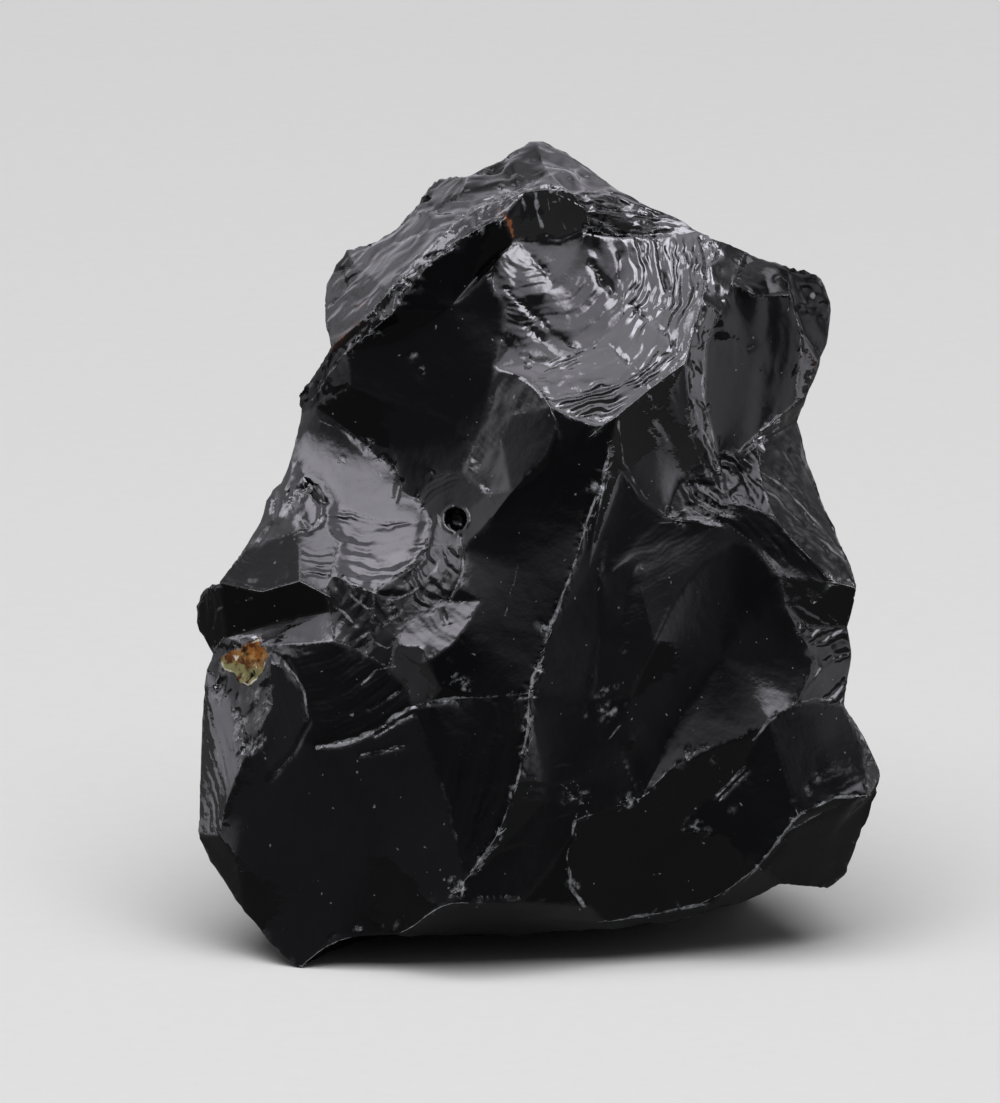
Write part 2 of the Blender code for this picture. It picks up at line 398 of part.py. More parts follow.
def glass():
    material = bpy.data.materials.new("volcanicGlass")
    material.use_nodes = True
    shader = material.node_tree.nodes["Principled BSDF"]
    shader.inputs["Base Color"].default_value = GLASS_COLOUR
    shader.inputs["Roughness"].default_value = GLASS_ROUGHNESS
    shader.inputs["Metallic"].default_value = 0.0
    material.diffuse_color = GLASS_COLOUR
    return material


def centre_over_origin(stone):
    """Brings the middle of the stone's footprint to the origin, with its foot at Z = 0."""
    bpy.context.view_layer.update()
    evaluated = stone.evaluated_get(bpy.context.evaluated_depsgraph_get())
    corners = np.array([vertex.co for vertex in evaluated.data.vertices])
    low = corners.min(axis=0)
    high = corners.max(axis=0)
    stone.location = (-(low[0] + high[0]) / 2, -(low[1] + high[1]) / 2, -low[2])


def make_stone():
    bm = build_cage(place_points())
    mesh = bpy.data.meshes.new("crystal")
    bm.to_mesh(mesh)
    bm.free()
    mesh.materials.append(glass())
    mesh.shade_smooth()
    mesh.set_sharp_from_angle(angle=SHARP_RIDGE)
    stone = bpy.data.objects.new("crystal", mesh)
    bpy.context.scene.collection.objects.link(stone)
    rounding = stone.modifiers.new("rounding", "SUBSURF")
    rounding.levels = ROUNDING
    rounding.render_levels = ROUNDING
    centre_over_origin(stone)
    return stone


clear_scene()
make_stone()
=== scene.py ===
import math
import random

import bpy
import numpy as np
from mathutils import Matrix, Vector


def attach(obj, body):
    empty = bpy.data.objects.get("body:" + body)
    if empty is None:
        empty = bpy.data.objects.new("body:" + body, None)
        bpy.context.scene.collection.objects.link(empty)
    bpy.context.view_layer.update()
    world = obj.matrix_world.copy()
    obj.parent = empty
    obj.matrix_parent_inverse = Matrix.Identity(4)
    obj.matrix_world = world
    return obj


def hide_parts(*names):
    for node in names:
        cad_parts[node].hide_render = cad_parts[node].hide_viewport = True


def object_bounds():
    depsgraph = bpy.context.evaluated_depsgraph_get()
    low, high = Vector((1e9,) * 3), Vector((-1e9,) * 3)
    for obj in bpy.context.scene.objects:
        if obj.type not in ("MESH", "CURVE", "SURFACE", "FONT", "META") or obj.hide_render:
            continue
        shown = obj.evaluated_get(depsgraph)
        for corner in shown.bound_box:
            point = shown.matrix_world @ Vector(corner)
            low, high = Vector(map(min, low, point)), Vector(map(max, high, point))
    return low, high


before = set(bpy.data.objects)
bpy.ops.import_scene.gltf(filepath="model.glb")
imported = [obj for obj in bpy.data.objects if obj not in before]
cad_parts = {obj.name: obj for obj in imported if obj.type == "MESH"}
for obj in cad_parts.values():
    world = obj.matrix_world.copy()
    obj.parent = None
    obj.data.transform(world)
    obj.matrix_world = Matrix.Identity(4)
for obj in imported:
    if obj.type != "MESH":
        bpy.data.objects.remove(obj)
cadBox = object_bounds()
mm = 0.001

# The worn front leans back, so marks on it are placed square on to it: across and up in mm.
# The tip of the stone is near (-12, 0) and its peak near (0, 41).
frontFace = {
    "lean": math.radians(13.0),
    "shift": np.array([0.1, -15.69, 0.885]),
}
sine = math.sin(frontFace["lean"])
cosine = math.cos(frontFace["lean"])


def toFront(points):
    local = points - frontFace["shift"]
    up = local[:, 1] * sine + local[:, 2] * cosine
    back = local[:, 1] * cosine - local[:, 2] * sine
    return np.stack([local[:, 0], up, back], axis=1)


def fromFront(across, up, back):
    y = up * sine + back * cosine
    z = up * cosine - back * sine
    return Vector((across, y, z)) + Vector(frontFace["shift"])


# the solid as plain arrays of points and triangles, in mm
def readSolid(node):
    mesh = node.data
    mesh.calc_loop_triangles()
    points = np.empty(len(mesh.vertices) * 3)
    mesh.vertices.foreach_get("co", points)
    faces = np.empty(len(mesh.loop_triangles) * 3, dtype=np.int64)
    mesh.loop_triangles.foreach_get("vertices", faces)
    points = points.reshape(-1, 3) / mm
    _, first, same = np.unique(np.round(points, 3), axis=0, return_index=True, return_inverse=True)
    faces = same.reshape(-1)[faces].reshape(-1, 3)
    a, b, c = faces.T
    return points[first], faces[(a != b) & (b != c) & (c != a)]


# every edge once, and the numbers of each triangle's three edges
def edgesOf(faces):
    ends = np.sort(np.concatenate([faces[:, [0, 1]], faces[:, [1, 2]], faces[:, [2, 0]]]), axis=1)
    keys = ends[:, 0] << 32 | ends[:, 1]
    keys, index = np.unique(keys, return_inverse=True)
    edges = np.stack([keys >> 32, keys & 0xFFFFFFFF], axis=1)
    return edges, index.reshape(3, -1).T


def faceNormals(points, faces):
    corner = points[faces]
    return np.cross(corner[:, 1] - corner[:, 0], corner[:, 2] - corner[:, 0])


def unit(vectors):
    return vectors / np.maximum(np.linalg.norm(vectors, axis=1, keepdims=True), 1e-12)


def pointNormals(points, faces):
    each = faceNormals(points, faces)
    total = np.zeros_like(points)
    for axis in range(3):
        for corner in range(3):
            total[:, axis] += np.bincount(faces[:, corner], each[:, axis], len(points))
    return unit(total)


# the angle in degrees at every edge, and whether it stands outward
def bends(points, faces):
    edges, sides = edgesOf(faces)
    order = np.argsort(sides.reshape(-1), kind="stable").reshape(-1, 2)
    pair = order // 3
    normals = unit(faceNormals(points, faces))
    one, two = normals[pair[:, 0]], normals[pair[:, 1]]
    angle = np.degrees(np.arccos(np.clip((one * two).sum(axis=1), -1, 1)))
    middles = points[faces].mean(axis=1)
    outward = ((middles[pair[:, 1]] - middles[pair[:, 0]]) * one).sum(axis=1) < 0
    return edges, angle, outward


# cuts every edge that is longer than reach allows, and keeps count of the ridges
def splitLong(points, faces, ridgeKeys, reach):
    edges, sides = edgesOf(faces)
    ends = points[edges]
    length = np.linalg.norm(ends[:, 0] - ends[:, 1], axis=1)
    limit = reach(ends.mean(axis=1), pointNormals(points, faces)[edges].mean(axis=1))
    split = length > limit
    middle = np.full(len(edges), -1)
    middle[split] = len(points) + np.arange(split.sum())
    points = np.concatenate([points, ends[split].mean(axis=1)])
    keys = edges[:, 0] << 32 | edges[:, 1]
    onRidge = np.isin(keys, ridgeKeys)
    cut = onRidge & split
    halves = [edges[cut, 0] << 32 | middle[cut], edges[cut, 1] << 32 | middle[cut]]
    ridgeKeys = np.concatenate([keys[onRidge & ~split]] + halves)
    cuts = middle[sides]
    count = (cuts >= 0).sum(axis=1)
    made = [faces[count == 0]]
    # turn each face so that its cut sides come first
    turn = np.zeros(len(faces), dtype=np.int64)
    turn[count == 1] = np.argmax(cuts[count == 1] >= 0, axis=1)
    turn[count == 2] = (np.argmin(cuts[count == 2] >= 0, axis=1) + 1) % 3
    rows = np.arange(len(faces))[:, None]
    order = (turn[:, None] + np.arange(3)) % 3
    faces, cuts = faces[rows, order], cuts[rows, order]
    # one cut side makes two faces, two make three, and three make four
    a, b, c = faces[count == 1].T
    m = cuts[count == 1, 0]
    made += [np.stack([a, m, c], axis=1), np.stack([m, b, c], axis=1)]
    a, b, c = faces[count == 2].T
    m, n = cuts[count == 2, 0], cuts[count == 2, 1]
    made.append(np.stack([m, b, n], axis=1))
    lengthAN = np.linalg.norm(points[a] - points[n], axis=1)
    lengthMC = np.linalg.norm(points[m] - points[c], axis=1)
    shorter = (lengthAN < lengthMC)[:, None]
    made.append(np.where(shorter, np.stack([a, m, n], axis=1), np.stack([a, m, c], axis=1)))
    made.append(np.where(shorter, np.stack([a, n, c], axis=1), np.stack([m, n, c], axis=1)))
    a, b, c = faces[count == 3].T
    m, n, o = cuts[count == 3].T
    made += [np.stack(t, axis=1) for t in ((a, m, o), (m, b, n), (o, n, c), (m, n, o))]
    return points, np.concatenate(made), ridgeKeys


# smooths the scars and, along their own line, the ridges between them
def relax(points, faces, ridgeKeys, rounds, ridgesToo=True):
    edges, _ = edgesOf(faces)
    onRidge = np.isin(edges[:, 0] << 32 | edges[:, 1], ridgeKeys)
    total = len(points)
    ridgeEnds = np.bincount(edges[onRidge].reshape(-1), minlength=total)
    ways = [(edges, ridgeEnds == 0)]
    if ridgesToo:
        ways.append((edges[onRidge], ridgeEnds == 2))
    for step in range(rounds):
        moved = points.copy()
        if ridgesToo and step == rounds - 1:
            ways[1] = (edges[onRidge], ridgeEnds > 1)    # then the corners too, to round them
        for pairs, which in ways:
            count = np.bincount(pairs.reshape(-1), minlength=total)
            summed = np.zeros_like(points)
            for axis in range(3):
                summed[:, axis] = np.bincount(pairs[:, 0], points[pairs[:, 1], axis], total)
                summed[:, axis] += np.bincount(pairs[:, 1], points[pairs[:, 0], axis], total)
            mean = summed[which] / count[which, None]
            moved[which] = points[which] + 0.5 * (mean - points[which])
        points = moved
    return points


# uneven values over space, always the same, from -1 to 1
dice = np.random.default_rng(7).random(1 << 14) * 2 - 1


def grain(points, size, seed=0):
    spot = points / size
    cell = np.floor(spot).astype(np.int64)
    part = spot - cell
    part = part * part * (3 - 2 * part)
    total = np.zeros(len(points))
    for dx in (0, 1):
        for dy in (0, 1):
            for dz in (0, 1):
                x, y, z = cell[:, 0] + dx, cell[:, 1] + dy, cell[:, 2] + dz
                mixed = (x * 73856093) ^ (y * 19349663) ^ (z * 83492791) ^ (seed * 2654435761)
                mixed = (mixed ^ (mixed >> 13)) & (len(dice) - 1)
                weight = np.abs(1 - dx - part[:, 0]) * np.abs(1 - dy - part[:, 1])
                total += dice[mixed] * (weight * np.abs(1 - dz - part[:, 2]))
    return total


def layered(points, size, seed=0):
    return (grain(points, size, seed) + 0.5 * grain(points, size / 2.1, seed + 1)
            + 0.25 * grain(points, size / 4.3, seed + 2)) / 1.75


def ease(low, high, value):
    part = np.clip((value - low) / (high - low), 0, 1)
    return part * part * (3 - 2 * part)


def fromPath(spots, path):
    x, y = spots[:, 0], spots[:, 1]
    nearest = np.full(len(spots), 1e9)
    for (x1, y1), (x2, y2) in zip(path, path[1:]):
        dx, dy = x2 - x1, y2 - y1
        share = np.clip(((x - x1) * dx + (y - y1) * dy) / max(dx * dx + dy * dy, 1e-9), 0, 1)
        nearest = np.minimum(nearest, (x - x1 - share * dx) ** 2 + (y - y1 - share * dy) ** 2)
    return np.sqrt(nearest)


# how far each spot is inside the sides of a shape, in mm, and below 0 outside it
def insideBy(spots, sides):
    x, y = spots[:, 0], spots[:, 1]
    inside = np.zeros(len(spots), dtype=bool)
    nearest = np.full(len(spots), 1e9)
    for (x1, y1), (x2, y2) in sides:
        crosses = (y1 > y) != (y2 > y)
        at = x1 + (y - y1) * (x2 - x1) / (y2 - y1 if y1 != y2 else 1e-9)
        inside ^= crosses & (x < at)
        nearest = np.minimum(nearest, fromPath(spots, [(x1, y1), (x2, y2)]))
    return np.where(inside, nearest, -nearest)


# the numbers of the spots within a margin of a path's box
def around(spots, path, margin):
    path = np.reshape(path, (-1, 2))
    low, high = path.min(axis=0) - margin, path.max(axis=0) + margin
    return np.flatnonzero(((spots > low) & (spots < high)).all(axis=1))


# the facets of the worn front, each between its corners: across and up in mm
corners = {
    "left25": (-3.7, 39.7), "left26": (-2.65, 40.1), "left27": (-1.95, 40.4),
    "left28": (-1.15, 41.15), "top0": (-0.15, 41.45), "shoulder5": (0.35, 39.5),
    "shoulder4": (-2.0, 38.95), "shoulder3": (-4.05, 38.6), "top1": (1.1, 40.95),
    "top2": (4.0, 38.8), "crest9": (1.6, 38.75), "crest8": (0.25, 38.95), "crest7": (-1.0, 38.75),
    "crest6": (-2.0, 38.4), "crest5": (-3.7, 37.8), "shoulder2": (-6.0, 37.75),
    "left22": (-6.3, 38.0), "left23": (-5.6, 39.15), "left24": (-5.0, 39.6),
    "left19": (-9.75, 36.05), "left20": (-8.4, 36.25), "left21": (-7.15, 36.95),
    "crest4": (-5.0, 36.5), "crest3": (-6.25, 35.3), "crest2": (-7.5, 33.85),
    "shoulder1": (-9.4, 35.25), "left18": (-10.75, 34.4), "crest1": (-8.6, 32.6),
    "left16": (-10.45, 31.05), "left17": (-10.75, 32.4), "brow2": (-7.4, 32.7),
    "brow1": (-9.75, 30.75), "brow7": (-1.85, 37.3), "brow6": (-2.6, 37.3), "brow5": (-4.25, 36.25),
    "brow4": (-6.0, 34.8), "brow3": (-6.8, 33.55), "left13": (-12.0, 27.65),
    "left14": (-12.1, 28.75), "left15": (-11.3, 29.65), "grit1": (-9.4, 29.1),
    "saw1": (-11.2, 28.05), "plate1": (2.3, 37.75), "ledge3": (2.4, 37.0), "ledge2": (1.0, 36.35),
    "ledge1": (-1.3, 36.25), "top3": (7.05, 37.35), "plate2": (5.0, 37.7), "top4": (7.85, 36.85),
    "ledge5": (6.0, 36.5), "ledge4": (3.6, 36.85), "shell1": (-2.0, 35.5), "shell2": (-2.6, 34.8),
    "shell3": (-2.5, 33.9), "shell4": (-1.75, 33.25), "shell5": (-1.95, 31.4),
    "shell6": (-2.25, 30.0), "strip1": (-3.0, 26.9), "strip2": (-3.9, 24.8), "saw8": (-5.5, 24.8),
    "saw7": (-5.95, 23.45), "saw6": (-6.95, 23.55), "saw5": (-7.15, 25.1), "saw4": (-8.0, 25.45),
    "saw3": (-8.8, 26.25), "saw2": (-10.0, 27.15), "inner1": (4.25, 34.9), "inner2": (4.1, 32.65),
    "inner3": (2.6, 30.9), "inner4": (0.25, 30.3), "outer1": (6.4, 33.9), "outer2": (5.85, 31.4),
    "outer3": (3.9, 29.2), "shell9": (1.6, 27.45), "shell8": (0.5, 28.0), "shell7": (-0.5, 29.5),
    "top5": (8.7, 36.5), "shell14": (8.1, 33.4), "shell13": (7.2, 30.2), "shell12": (5.5, 29.0),
    "shell11": (3.8, 27.55), "shell10": (2.95, 26.95), "top6": (10.25, 35.8), "wall1": (9.6, 34.3),
    "wall2": (9.0, 32.7), "top7": (12.5, 35.1), "wall3": (12.5, 33.65), "wall4": (10.6, 33.55),
    "knob1": (13.9, 34.85), "knob2": (14.65, 33.4), "knob3": (14.4, 31.15), "knob4": (14.0, 30.15),
    "wall5": (13.15, 31.65), "wall7": (12.85, 28.3), "wall9": (9.9, 25.8), "wall10": (8.85, 25.75),
    "wall11": (8.2, 28.4), "wall12": (8.3, 31.15), "right1": (13.4, 28.5), "right2": (12.85, 27.35),
    "mid1": (10.85, 26.1), "flake3": (9.1, 24.6), "flake2": (8.0, 25.2), "flute1": (7.5, 26.9),
    "flake1": (6.8, 24.4), "cove1": (6.1, 22.5), "cove2": (5.0, 23.4), "cove3": (4.05, 24.9),
    "spine0": (3.5, 26.1), "flake4": (9.9, 23.25), "flake5": (8.6, 22.4), "mid2": (11.05, 24.3),
    "mid3": (11.65, 22.6), "right3": (13.3, 25.55), "right4": (14.1, 23.25),
    "right5": (15.3, 20.65), "right6": (15.85, 19.0), "pit1": (14.8, 19.25), "mid4": (13.1, 20.75),
    "pit3": (11.85, 19.5), "scoop1": (10.75, 21.1), "scoop0": (9.25, 22.2), "right7": (15.35, 17.0),
    "pit4": (13.3, 17.1), "pit5": (12.15, 18.25), "right8": (15.6, 15.75), "right9": (15.15, 13.1),
    "arc2": (13.9, 13.3), "arc1": (12.75, 13.2), "slat2": (13.85, 15.5), "slat1": (12.9, 16.7),
    "arc0": (11.4, 12.5), "scoop6": (10.6, 11.5), "scoop7": (8.0, 10.8), "scoop8": (6.4, 10.0),
    "bowl1": (5.0, 8.55), "plain1": (4.1, 11.3), "scoop10": (4.5, 13.55), "scoop11": (5.75, 16.25),
    "scoop12": (7.0, 19.0), "scoop13": (8.15, 20.35), "scoop14": (9.65, 21.25),
    "arc4": (16.1, 11.15), "corner0": (16.4, 8.65), "corner1": (14.75, 8.55),
    "corner2": (12.85, 7.65), "lobe1": (16.25, 11.65), "lobe2": (17.05, 9.65), "lobe3": (16.1, 6.9),
    "lobe4": (15.25, 4.5), "lobe5": (14.5, 4.05), "lobe6": (11.9, 4.2), "heel1": (10.85, 5.1),
    "heel2": (8.6, 3.3), "heel3": (6.2, 2.8), "heel4": (3.2, 2.35), "keel5": (2.5, 3.15),
    "keel6": (1.55, 4.15), "keel7": (1.45, 5.65), "keel8": (1.9, 7.5), "foot1": (10.0, 3.15),
    "foot2": (6.2, 2.4), "foot3": (3.2, 2.0), "flank1": (3.75, 22.4), "flank2": (3.0, 19.4),
    "flank3": (3.0, 16.4), "flank4": (2.5, 13.4), "spine5": (-0.55, 13.8), "spine4": (0.3, 16.55),
    "spine3": (1.4, 19.35), "spine2": (2.25, 22.0), "spine1": (3.1, 24.4), "band2": (7.5, 21.55),
    "band1": (5.0, 21.05), "band3": (5.1, 18.4), "keelA": (0.65, 5.1), "keelB": (-0.9, 3.35),
    "spine11": (-3.9, 3.35), "spine10": (-3.8, 4.4), "spine9": (-2.8, 5.6), "spine8": (-2.0, 7.0),
    "spine7": (-1.1, 9.3), "spine6": (-0.65, 12.1), "foot4": (0.0, 1.75), "foot5": (-5.5, 1.6),
    "foot6": (-7.15, 1.75), "sill2": (-6.4, 2.1), "sill1": (-4.9, 3.35), "ridge1": (-11.1, 11.1),
    "ridge2": (-9.05, 11.6), "ridge3": (-6.4, 13.0), "slab1": (-5.0, 9.4), "slab2": (-4.25, 6.5),
    "foot7": (-10.25, 1.75), "tip": (-11.95, 0.05), "left1": (-13.05, 0.9), "left2": (-15.0, 3.1),
    "toe2": (-14.7, 5.25), "toe3": (-16.05, 6.6), "bank1": (-15.6, 8.55), "bank2": (-14.85, 10.4),
    "bank3": (-14.1, 11.15), "crescent5": (-13.3, 9.75), "crescent4": (-11.9, 11.25),
    "ridge4": (-5.4, 13.4), "ridge5": (-3.6, 13.55), "left3": (-16.7, 5.65),
    "left4": (-17.05, 6.65), "left5": (-17.0, 10.15), "left6": (-16.7, 14.8),
    "ochre4": (-15.5, 13.55), "ochre5": (-13.7, 13.9), "crumb1": (-13.8, 12.4),
    "ochre3": (-13.4, 15.4), "crescent1": (-12.6, 15.05), "crescent2": (-11.8, 13.8),
    "crescent3": (-11.55, 12.3), "ochre2": (-13.85, 16.2), "vault1": (-10.3, 16.35),
    "vault2": (-8.9, 15.8), "vault3": (-7.6, 15.0), "vault4": (-6.5, 13.8), "kite1": (-6.9, 17.2),
    "kite2": (-5.0, 18.25), "kite3": (-2.95, 18.4), "kite4": (-4.2, 16.15), "kite7": (-5.6, 15.3),
    "kite6": (-5.8, 16.1), "kite5": (-7.1, 16.1), "kite8": (-4.9, 14.0), "vesA": (-2.65, 22.15),
    "tri4": (-1.45, 23.85), "tri3": (0.25, 25.55), "tri2": (0.8, 27.0), "vein1": (-3.95, 19.0),
    "vein2": (-3.8, 21.1), "pan8": (-5.65, 21.15), "jag1": (-8.4, 17.3), "pan10": (-8.25, 18.9),
    "pan9": (-6.4, 19.95), "pan11": (-9.65, 19.15), "bar3": (-10.5, 17.8), "node5": (-10.75, 18.7),
    "pan12": (-10.3, 20.1), "left12": (-12.35, 25.55), "pan7": (-5.45, 22.45), "panA": (-7.9, 22.4),
    "pan14": (-10.7, 23.35), "pan15": (-11.95, 25.0), "panB": (-8.1, 20.6), "pan13": (-10.1, 21.15),
    "node2": (-10.8, 22.2), "strip3": (-2.6, 23.65), "ves2": (-3.65, 22.75), "ves1": (-4.2, 23.05),
    "ves6": (-4.75, 22.75), "ves5": (-4.75, 22.1), "ves4": (-4.2, 21.8), "ves3": (-3.65, 22.1),
    "tri0": (-1.4, 27.6), "strip6": (-1.9, 26.4), "node3": (-12.05, 21.9), "node1": (-12.15, 23.8),
    "node4": (-12.0, 19.35), "left8": (-14.85, 20.85), "left9": (-13.9, 22.4),
    "left10": (-13.6, 23.75), "left11": (-12.75, 24.35), "nub4": (-16.05, 19.25),
    "bar1": (-13.9, 18.8), "bar4": (-12.5, 17.4), "bar5": (-15.7, 16.5), "left7": (-16.4, 15.65),
    "nub1": (-17.05, 16.8), "nub2": (-17.25, 18.1), "nub3": (-16.7, 19.1), "ochre1": (-14.85, 16.2),
}

# gloss: how strongly each one mirrors the light, then its corners in order
facets = {
    "peakLeft": (0.29, "left25 left26 left27 left28 top0 shoulder5 shoulder4 shoulder3"),
    "peakRight": (1.34, "top0 top1 top2 crest9 shoulder5"),
    "browStrip": (2.05, "shoulder3 shoulder4 shoulder5 crest9 crest8 crest7 crest6 crest5 "
                        "shoulder2"),
    "slopeTop": (0.31, "left22 left23 left24 left25 shoulder3 shoulder2"),
    "slopeLong": (1.72, "left19 left20 left21 left22 shoulder2 crest5 crest4 crest3 crest2 "
                        "shoulder1"),
    "slopeLow": (1.08, "left18 shoulder1 crest2 crest1 left16 left17"),
    "slopeNick": (0.26, "left18 left19 shoulder1"),
    "rust": (0.7, "left16 crest1 brow2 brow1"),
    "chipBand": (1.28, "crest1 crest2 crest3 crest4 crest5 crest6 crest7 brow7 brow6 brow5 brow4 "
                       "brow3 brow2"),
    "grit": (0.23, "left13 left14 left15 left16 brow1 grit1 saw1"),
    "pocket": (2.05, "crest7 crest8 crest9 plate1 ledge3 ledge2 ledge1 brow7"),
    "plateUpper": (1.71, "crest9 top2 top3 plate2 plate1"),
    "plateLower": (1.88, "plate1 plate2 top3 top4 ledge5 ledge4 ledge3"),
    "hollowTop": (0.26, "brow1 brow2 brow3 brow4 brow5 brow6 brow7 ledge1 shell1 shell2 shell3 "
                        "shell4 shell5 shell6 strip1 grit1"),
    "hollowFoot": (0.29, "grit1 strip1 strip2 saw8 saw7 saw6 saw5 saw4 saw3 saw2 saw1"),
    "shellInner": (1.47, "shell1 ledge1 ledge2 ledge3 ledge4 inner1 inner2 inner3 inner4 shell6 "
                         "shell5 shell4 shell3 shell2"),
    "shellMiddle": (1.91, "ledge4 ledge5 outer1 outer2 outer3 shell9 shell8 shell7 shell6 inner4 "
                          "inner3 inner2 inner1"),
    "shellOuter": (1.86, "ledge5 top4 top5 shell14 shell13 shell12 shell11 shell10 shell9 outer3 "
                         "outer2 outer1"),
    "spall": (2.05, "top5 top6 wall1 wall2 shell14"),
    "mottle": (0.27, "top6 top7 wall3 wall4 wall1"),
    "knob": (0.4, "top7 knob1 knob2 knob3 knob4 wall5 wall3"),
    "window": (0.44, "wall3 wall5 wall7 wall9 wall10 wall11 wall12 wall2 wall1 wall4"),
    "edge": (1.59, "wall5 knob4 right1 wall7"),
    "strips": (2.05, "wall7 right1 right2 mid1 wall9"),
    "fluting": (1.7, "shell14 wall2 wall12 wall11 wall10 flake3 flake2 flute1 shell13"),
    "cove": (1.66, "shell11 shell12 shell13 flute1 flake2 flake1 cove1 cove2 cove3 spine0"),
    "flakes": (0.25, "flake1 flake2 flake3 flake4 flake5 cove1"),
    "saddle": (0.21, "wall10 wall9 mid1 mid2 mid3 flake4 flake3"),
    "pane": (1.37, "mid1 right2 right3 right4 right5 right6 pit1 mid4 mid3 mid2"),
    "ladder": (0.31, "flake4 mid3 mid4 pit1 pit3 scoop1 scoop0 flake5"),
    "pit": (0.7, "pit1 right6 right7 pit4 pit5 pit3"),
    "slats": (0.72, "pit5 pit4 right7 right8 right9 arc2 arc1 slat2 slat1"),
    "scoop": (0.49, "scoop1 pit3 pit5 slat1 slat2 arc1 arc0 scoop6 scoop7 scoop8 bowl1 plain1 "
                    "scoop10 scoop11 scoop12 scoop13 scoop14"),
    "lobe": (0.22, "arc0 arc1 arc2 right9 arc4 corner0 corner1 corner2"),
    "rim": (2.0, "right9 lobe1 lobe2 corner0 arc4"),
    "heel": (1.0, "corner2 corner1 corner0 lobe2 lobe3 lobe4 lobe5 lobe6 heel1"),
    "bowl": (0.7, "scoop8 scoop7 scoop6 arc0 corner2 heel1 heel2 heel3 heel4 keel5 keel6 keel7 "
                  "keel8 bowl1"),
    "footBand": (2.05, "heel1 lobe6 foot1 foot2 foot3 heel4 heel3 heel2"),
    "flank": (1.15, "spine0 cove3 flank1 flank2 flank3 flank4 spine5 spine4 spine3 spine2 spine1"),
    "dull": (0.58, "cove3 cove2 cove1 flake5 scoop0 band2 band1 flank2 flank1"),
    "band": (1.22, "band1 band2 scoop0 scoop1 scoop14 scoop13 scoop12 scoop11 band3"),
    "diamond": (1.26, "flank2 band1 band3 scoop11 scoop10 flank4 flank3"),
    "plain": (0.8, "spine5 flank4 scoop10 plain1 bowl1 keel8 keelA keelB spine11 spine10 spine9 "
                   "spine8 spine7 spine6"),
    "shadow": (0.36, "keel8 keel7 keel6 keel5 keelB keelA"),
    "belly": (2.05, "spine11 keelB keel5 heel4 foot3 foot4 foot5 foot6 sill2 sill1"),
    "slab": (0.62, "ridge1 ridge2 ridge3 slab1 slab2 spine10 spine11 sill1 sill2 foot6 foot7 tip "
                   "left1 left2 toe2 toe3 bank1 bank2 bank3 crescent5 crescent4"),
    "wedge": (0.27, "ridge3 ridge4 ridge5 spine5 spine6 spine7 spine8 spine9 spine10 slab2 slab1"),
    "toe": (0.67, "left2 left3 left4 toe3 toe2"),
    "bank": (2.05, "left4 left5 left6 ochre4 bank2 bank1 toe3"),
    "crumb": (0.94, "ochre4 ochre5 crumb1 bank3 bank2"),
    "crescent": (0.96, "ochre5 ochre3 crescent1 crescent2 crescent3 crescent4 crescent5 bank3 "
                       "crumb1"),
    "vault": (0.29, "ochre2 vault1 vault2 vault3 vault4 ridge3 ridge2 ridge1 crescent4 crescent3 "
                    "crescent2 crescent1 ochre3"),
    "kite": (0.78, "kite1 kite2 kite3 kite4 kite7 kite6 kite5"),
    "underKite": (2.05, "kite5 kite6 kite7 kite8 ridge4 ridge3 vault4 vault3"),
    "coreTop": (0.32, "shell9 shell10 shell11 spine0 spine1 spine2 vesA tri4 tri3 tri2 shell8"),
    "coreFoot": (0.29, "vesA spine2 spine3 spine4 spine5 ridge5 ridge4 kite8 kite7 kite4 kite3 "
                       "vein1 vein2"),
    "hackleUp": (0.38, "pan8 vein2 vein1 kite2 kite1 jag1 pan10 pan9"),
    "hackleKnee": (0.27, "vein1 kite3 kite2"),
    "hackleLow": (0.9, "pan11 pan10 jag1 kite1 kite5 vault3 vault2 vault1 bar3 node5 pan12"),
    "panTop": (0.71, "left12 left13 saw1 saw2 saw3 saw4 saw5 saw6 saw7 pan7 panA pan14 pan15"),
    "panMiddle": (0.8, "pan7 pan8 panB pan13 node2 pan14 panA"),
    "panFoot": (0.97, "pan8 pan9 pan10 pan11 pan12 pan13 panB"),
    "blisterUp": (0.52, "saw7 saw8 strip2 strip3 ves2 ves1 ves6 pan7"),
    "blisterLow": (0.46, "pan7 ves6 ves5 ves4 vein2 pan8"),
    "blisterRight": (0.86, "ves4 ves3 ves2 strip3 tri4 vesA vein2"),
    "bubble": (0.4, "ves1 ves2 ves3 ves4 ves5 ves6"),
    "strip": (1.47, "shell6 shell7 shell8 tri0 strip6 tri4 strip3 strip2 strip1"),
    "tri": (0.5, "tri0 shell8 tri2 tri3 tri4 strip6"),
    "nodule": (0.91, "pan15 pan14 node2 node3 node1"),
    "rippled": (0.63, "node3 node2 pan13 pan12 node5 node4"),
    "knobs": (1.3, "left8 left9 left10 left11 left12 pan15 node1 node3"),
    "shelf": (0.38, "nub4 left8 node3 node4 bar1"),
    "bar": (0.3, "nub4 bar1 node4 node5 bar3 bar4 bar5"),
    "nub": (0.8, "left7 nub1 nub2 nub3 nub4 bar5"),
    "sill": (2.0, "bar5 bar4 bar3 vault1 ochre2 ochre1"),
    "ochre": (0.6, "left6 left7 bar5 ochre1 ochre2 ochre3 ochre5 ochre4"),
}


def closed(ring):
    return list(zip(ring, ring[1:] + ring[:1]))


# the outer sides of one facet or of several together
def sidesOf(names):
    sides = {}
    for name in names.split():
        for pair in closed(facets[name][1].split()):
            key = tuple(sorted(pair))
            if sides.pop(key, None) is None:
                sides[key] = (corners[pair[0]], corners[pair[1]])
    return list(sides.values())


def pathOf(names):
    return [corners[name] for name in names.split()]


crestLine = pathOf("crest1 crest2 crest3 crest4 crest5 crest6 crest7 crest8 crest9")

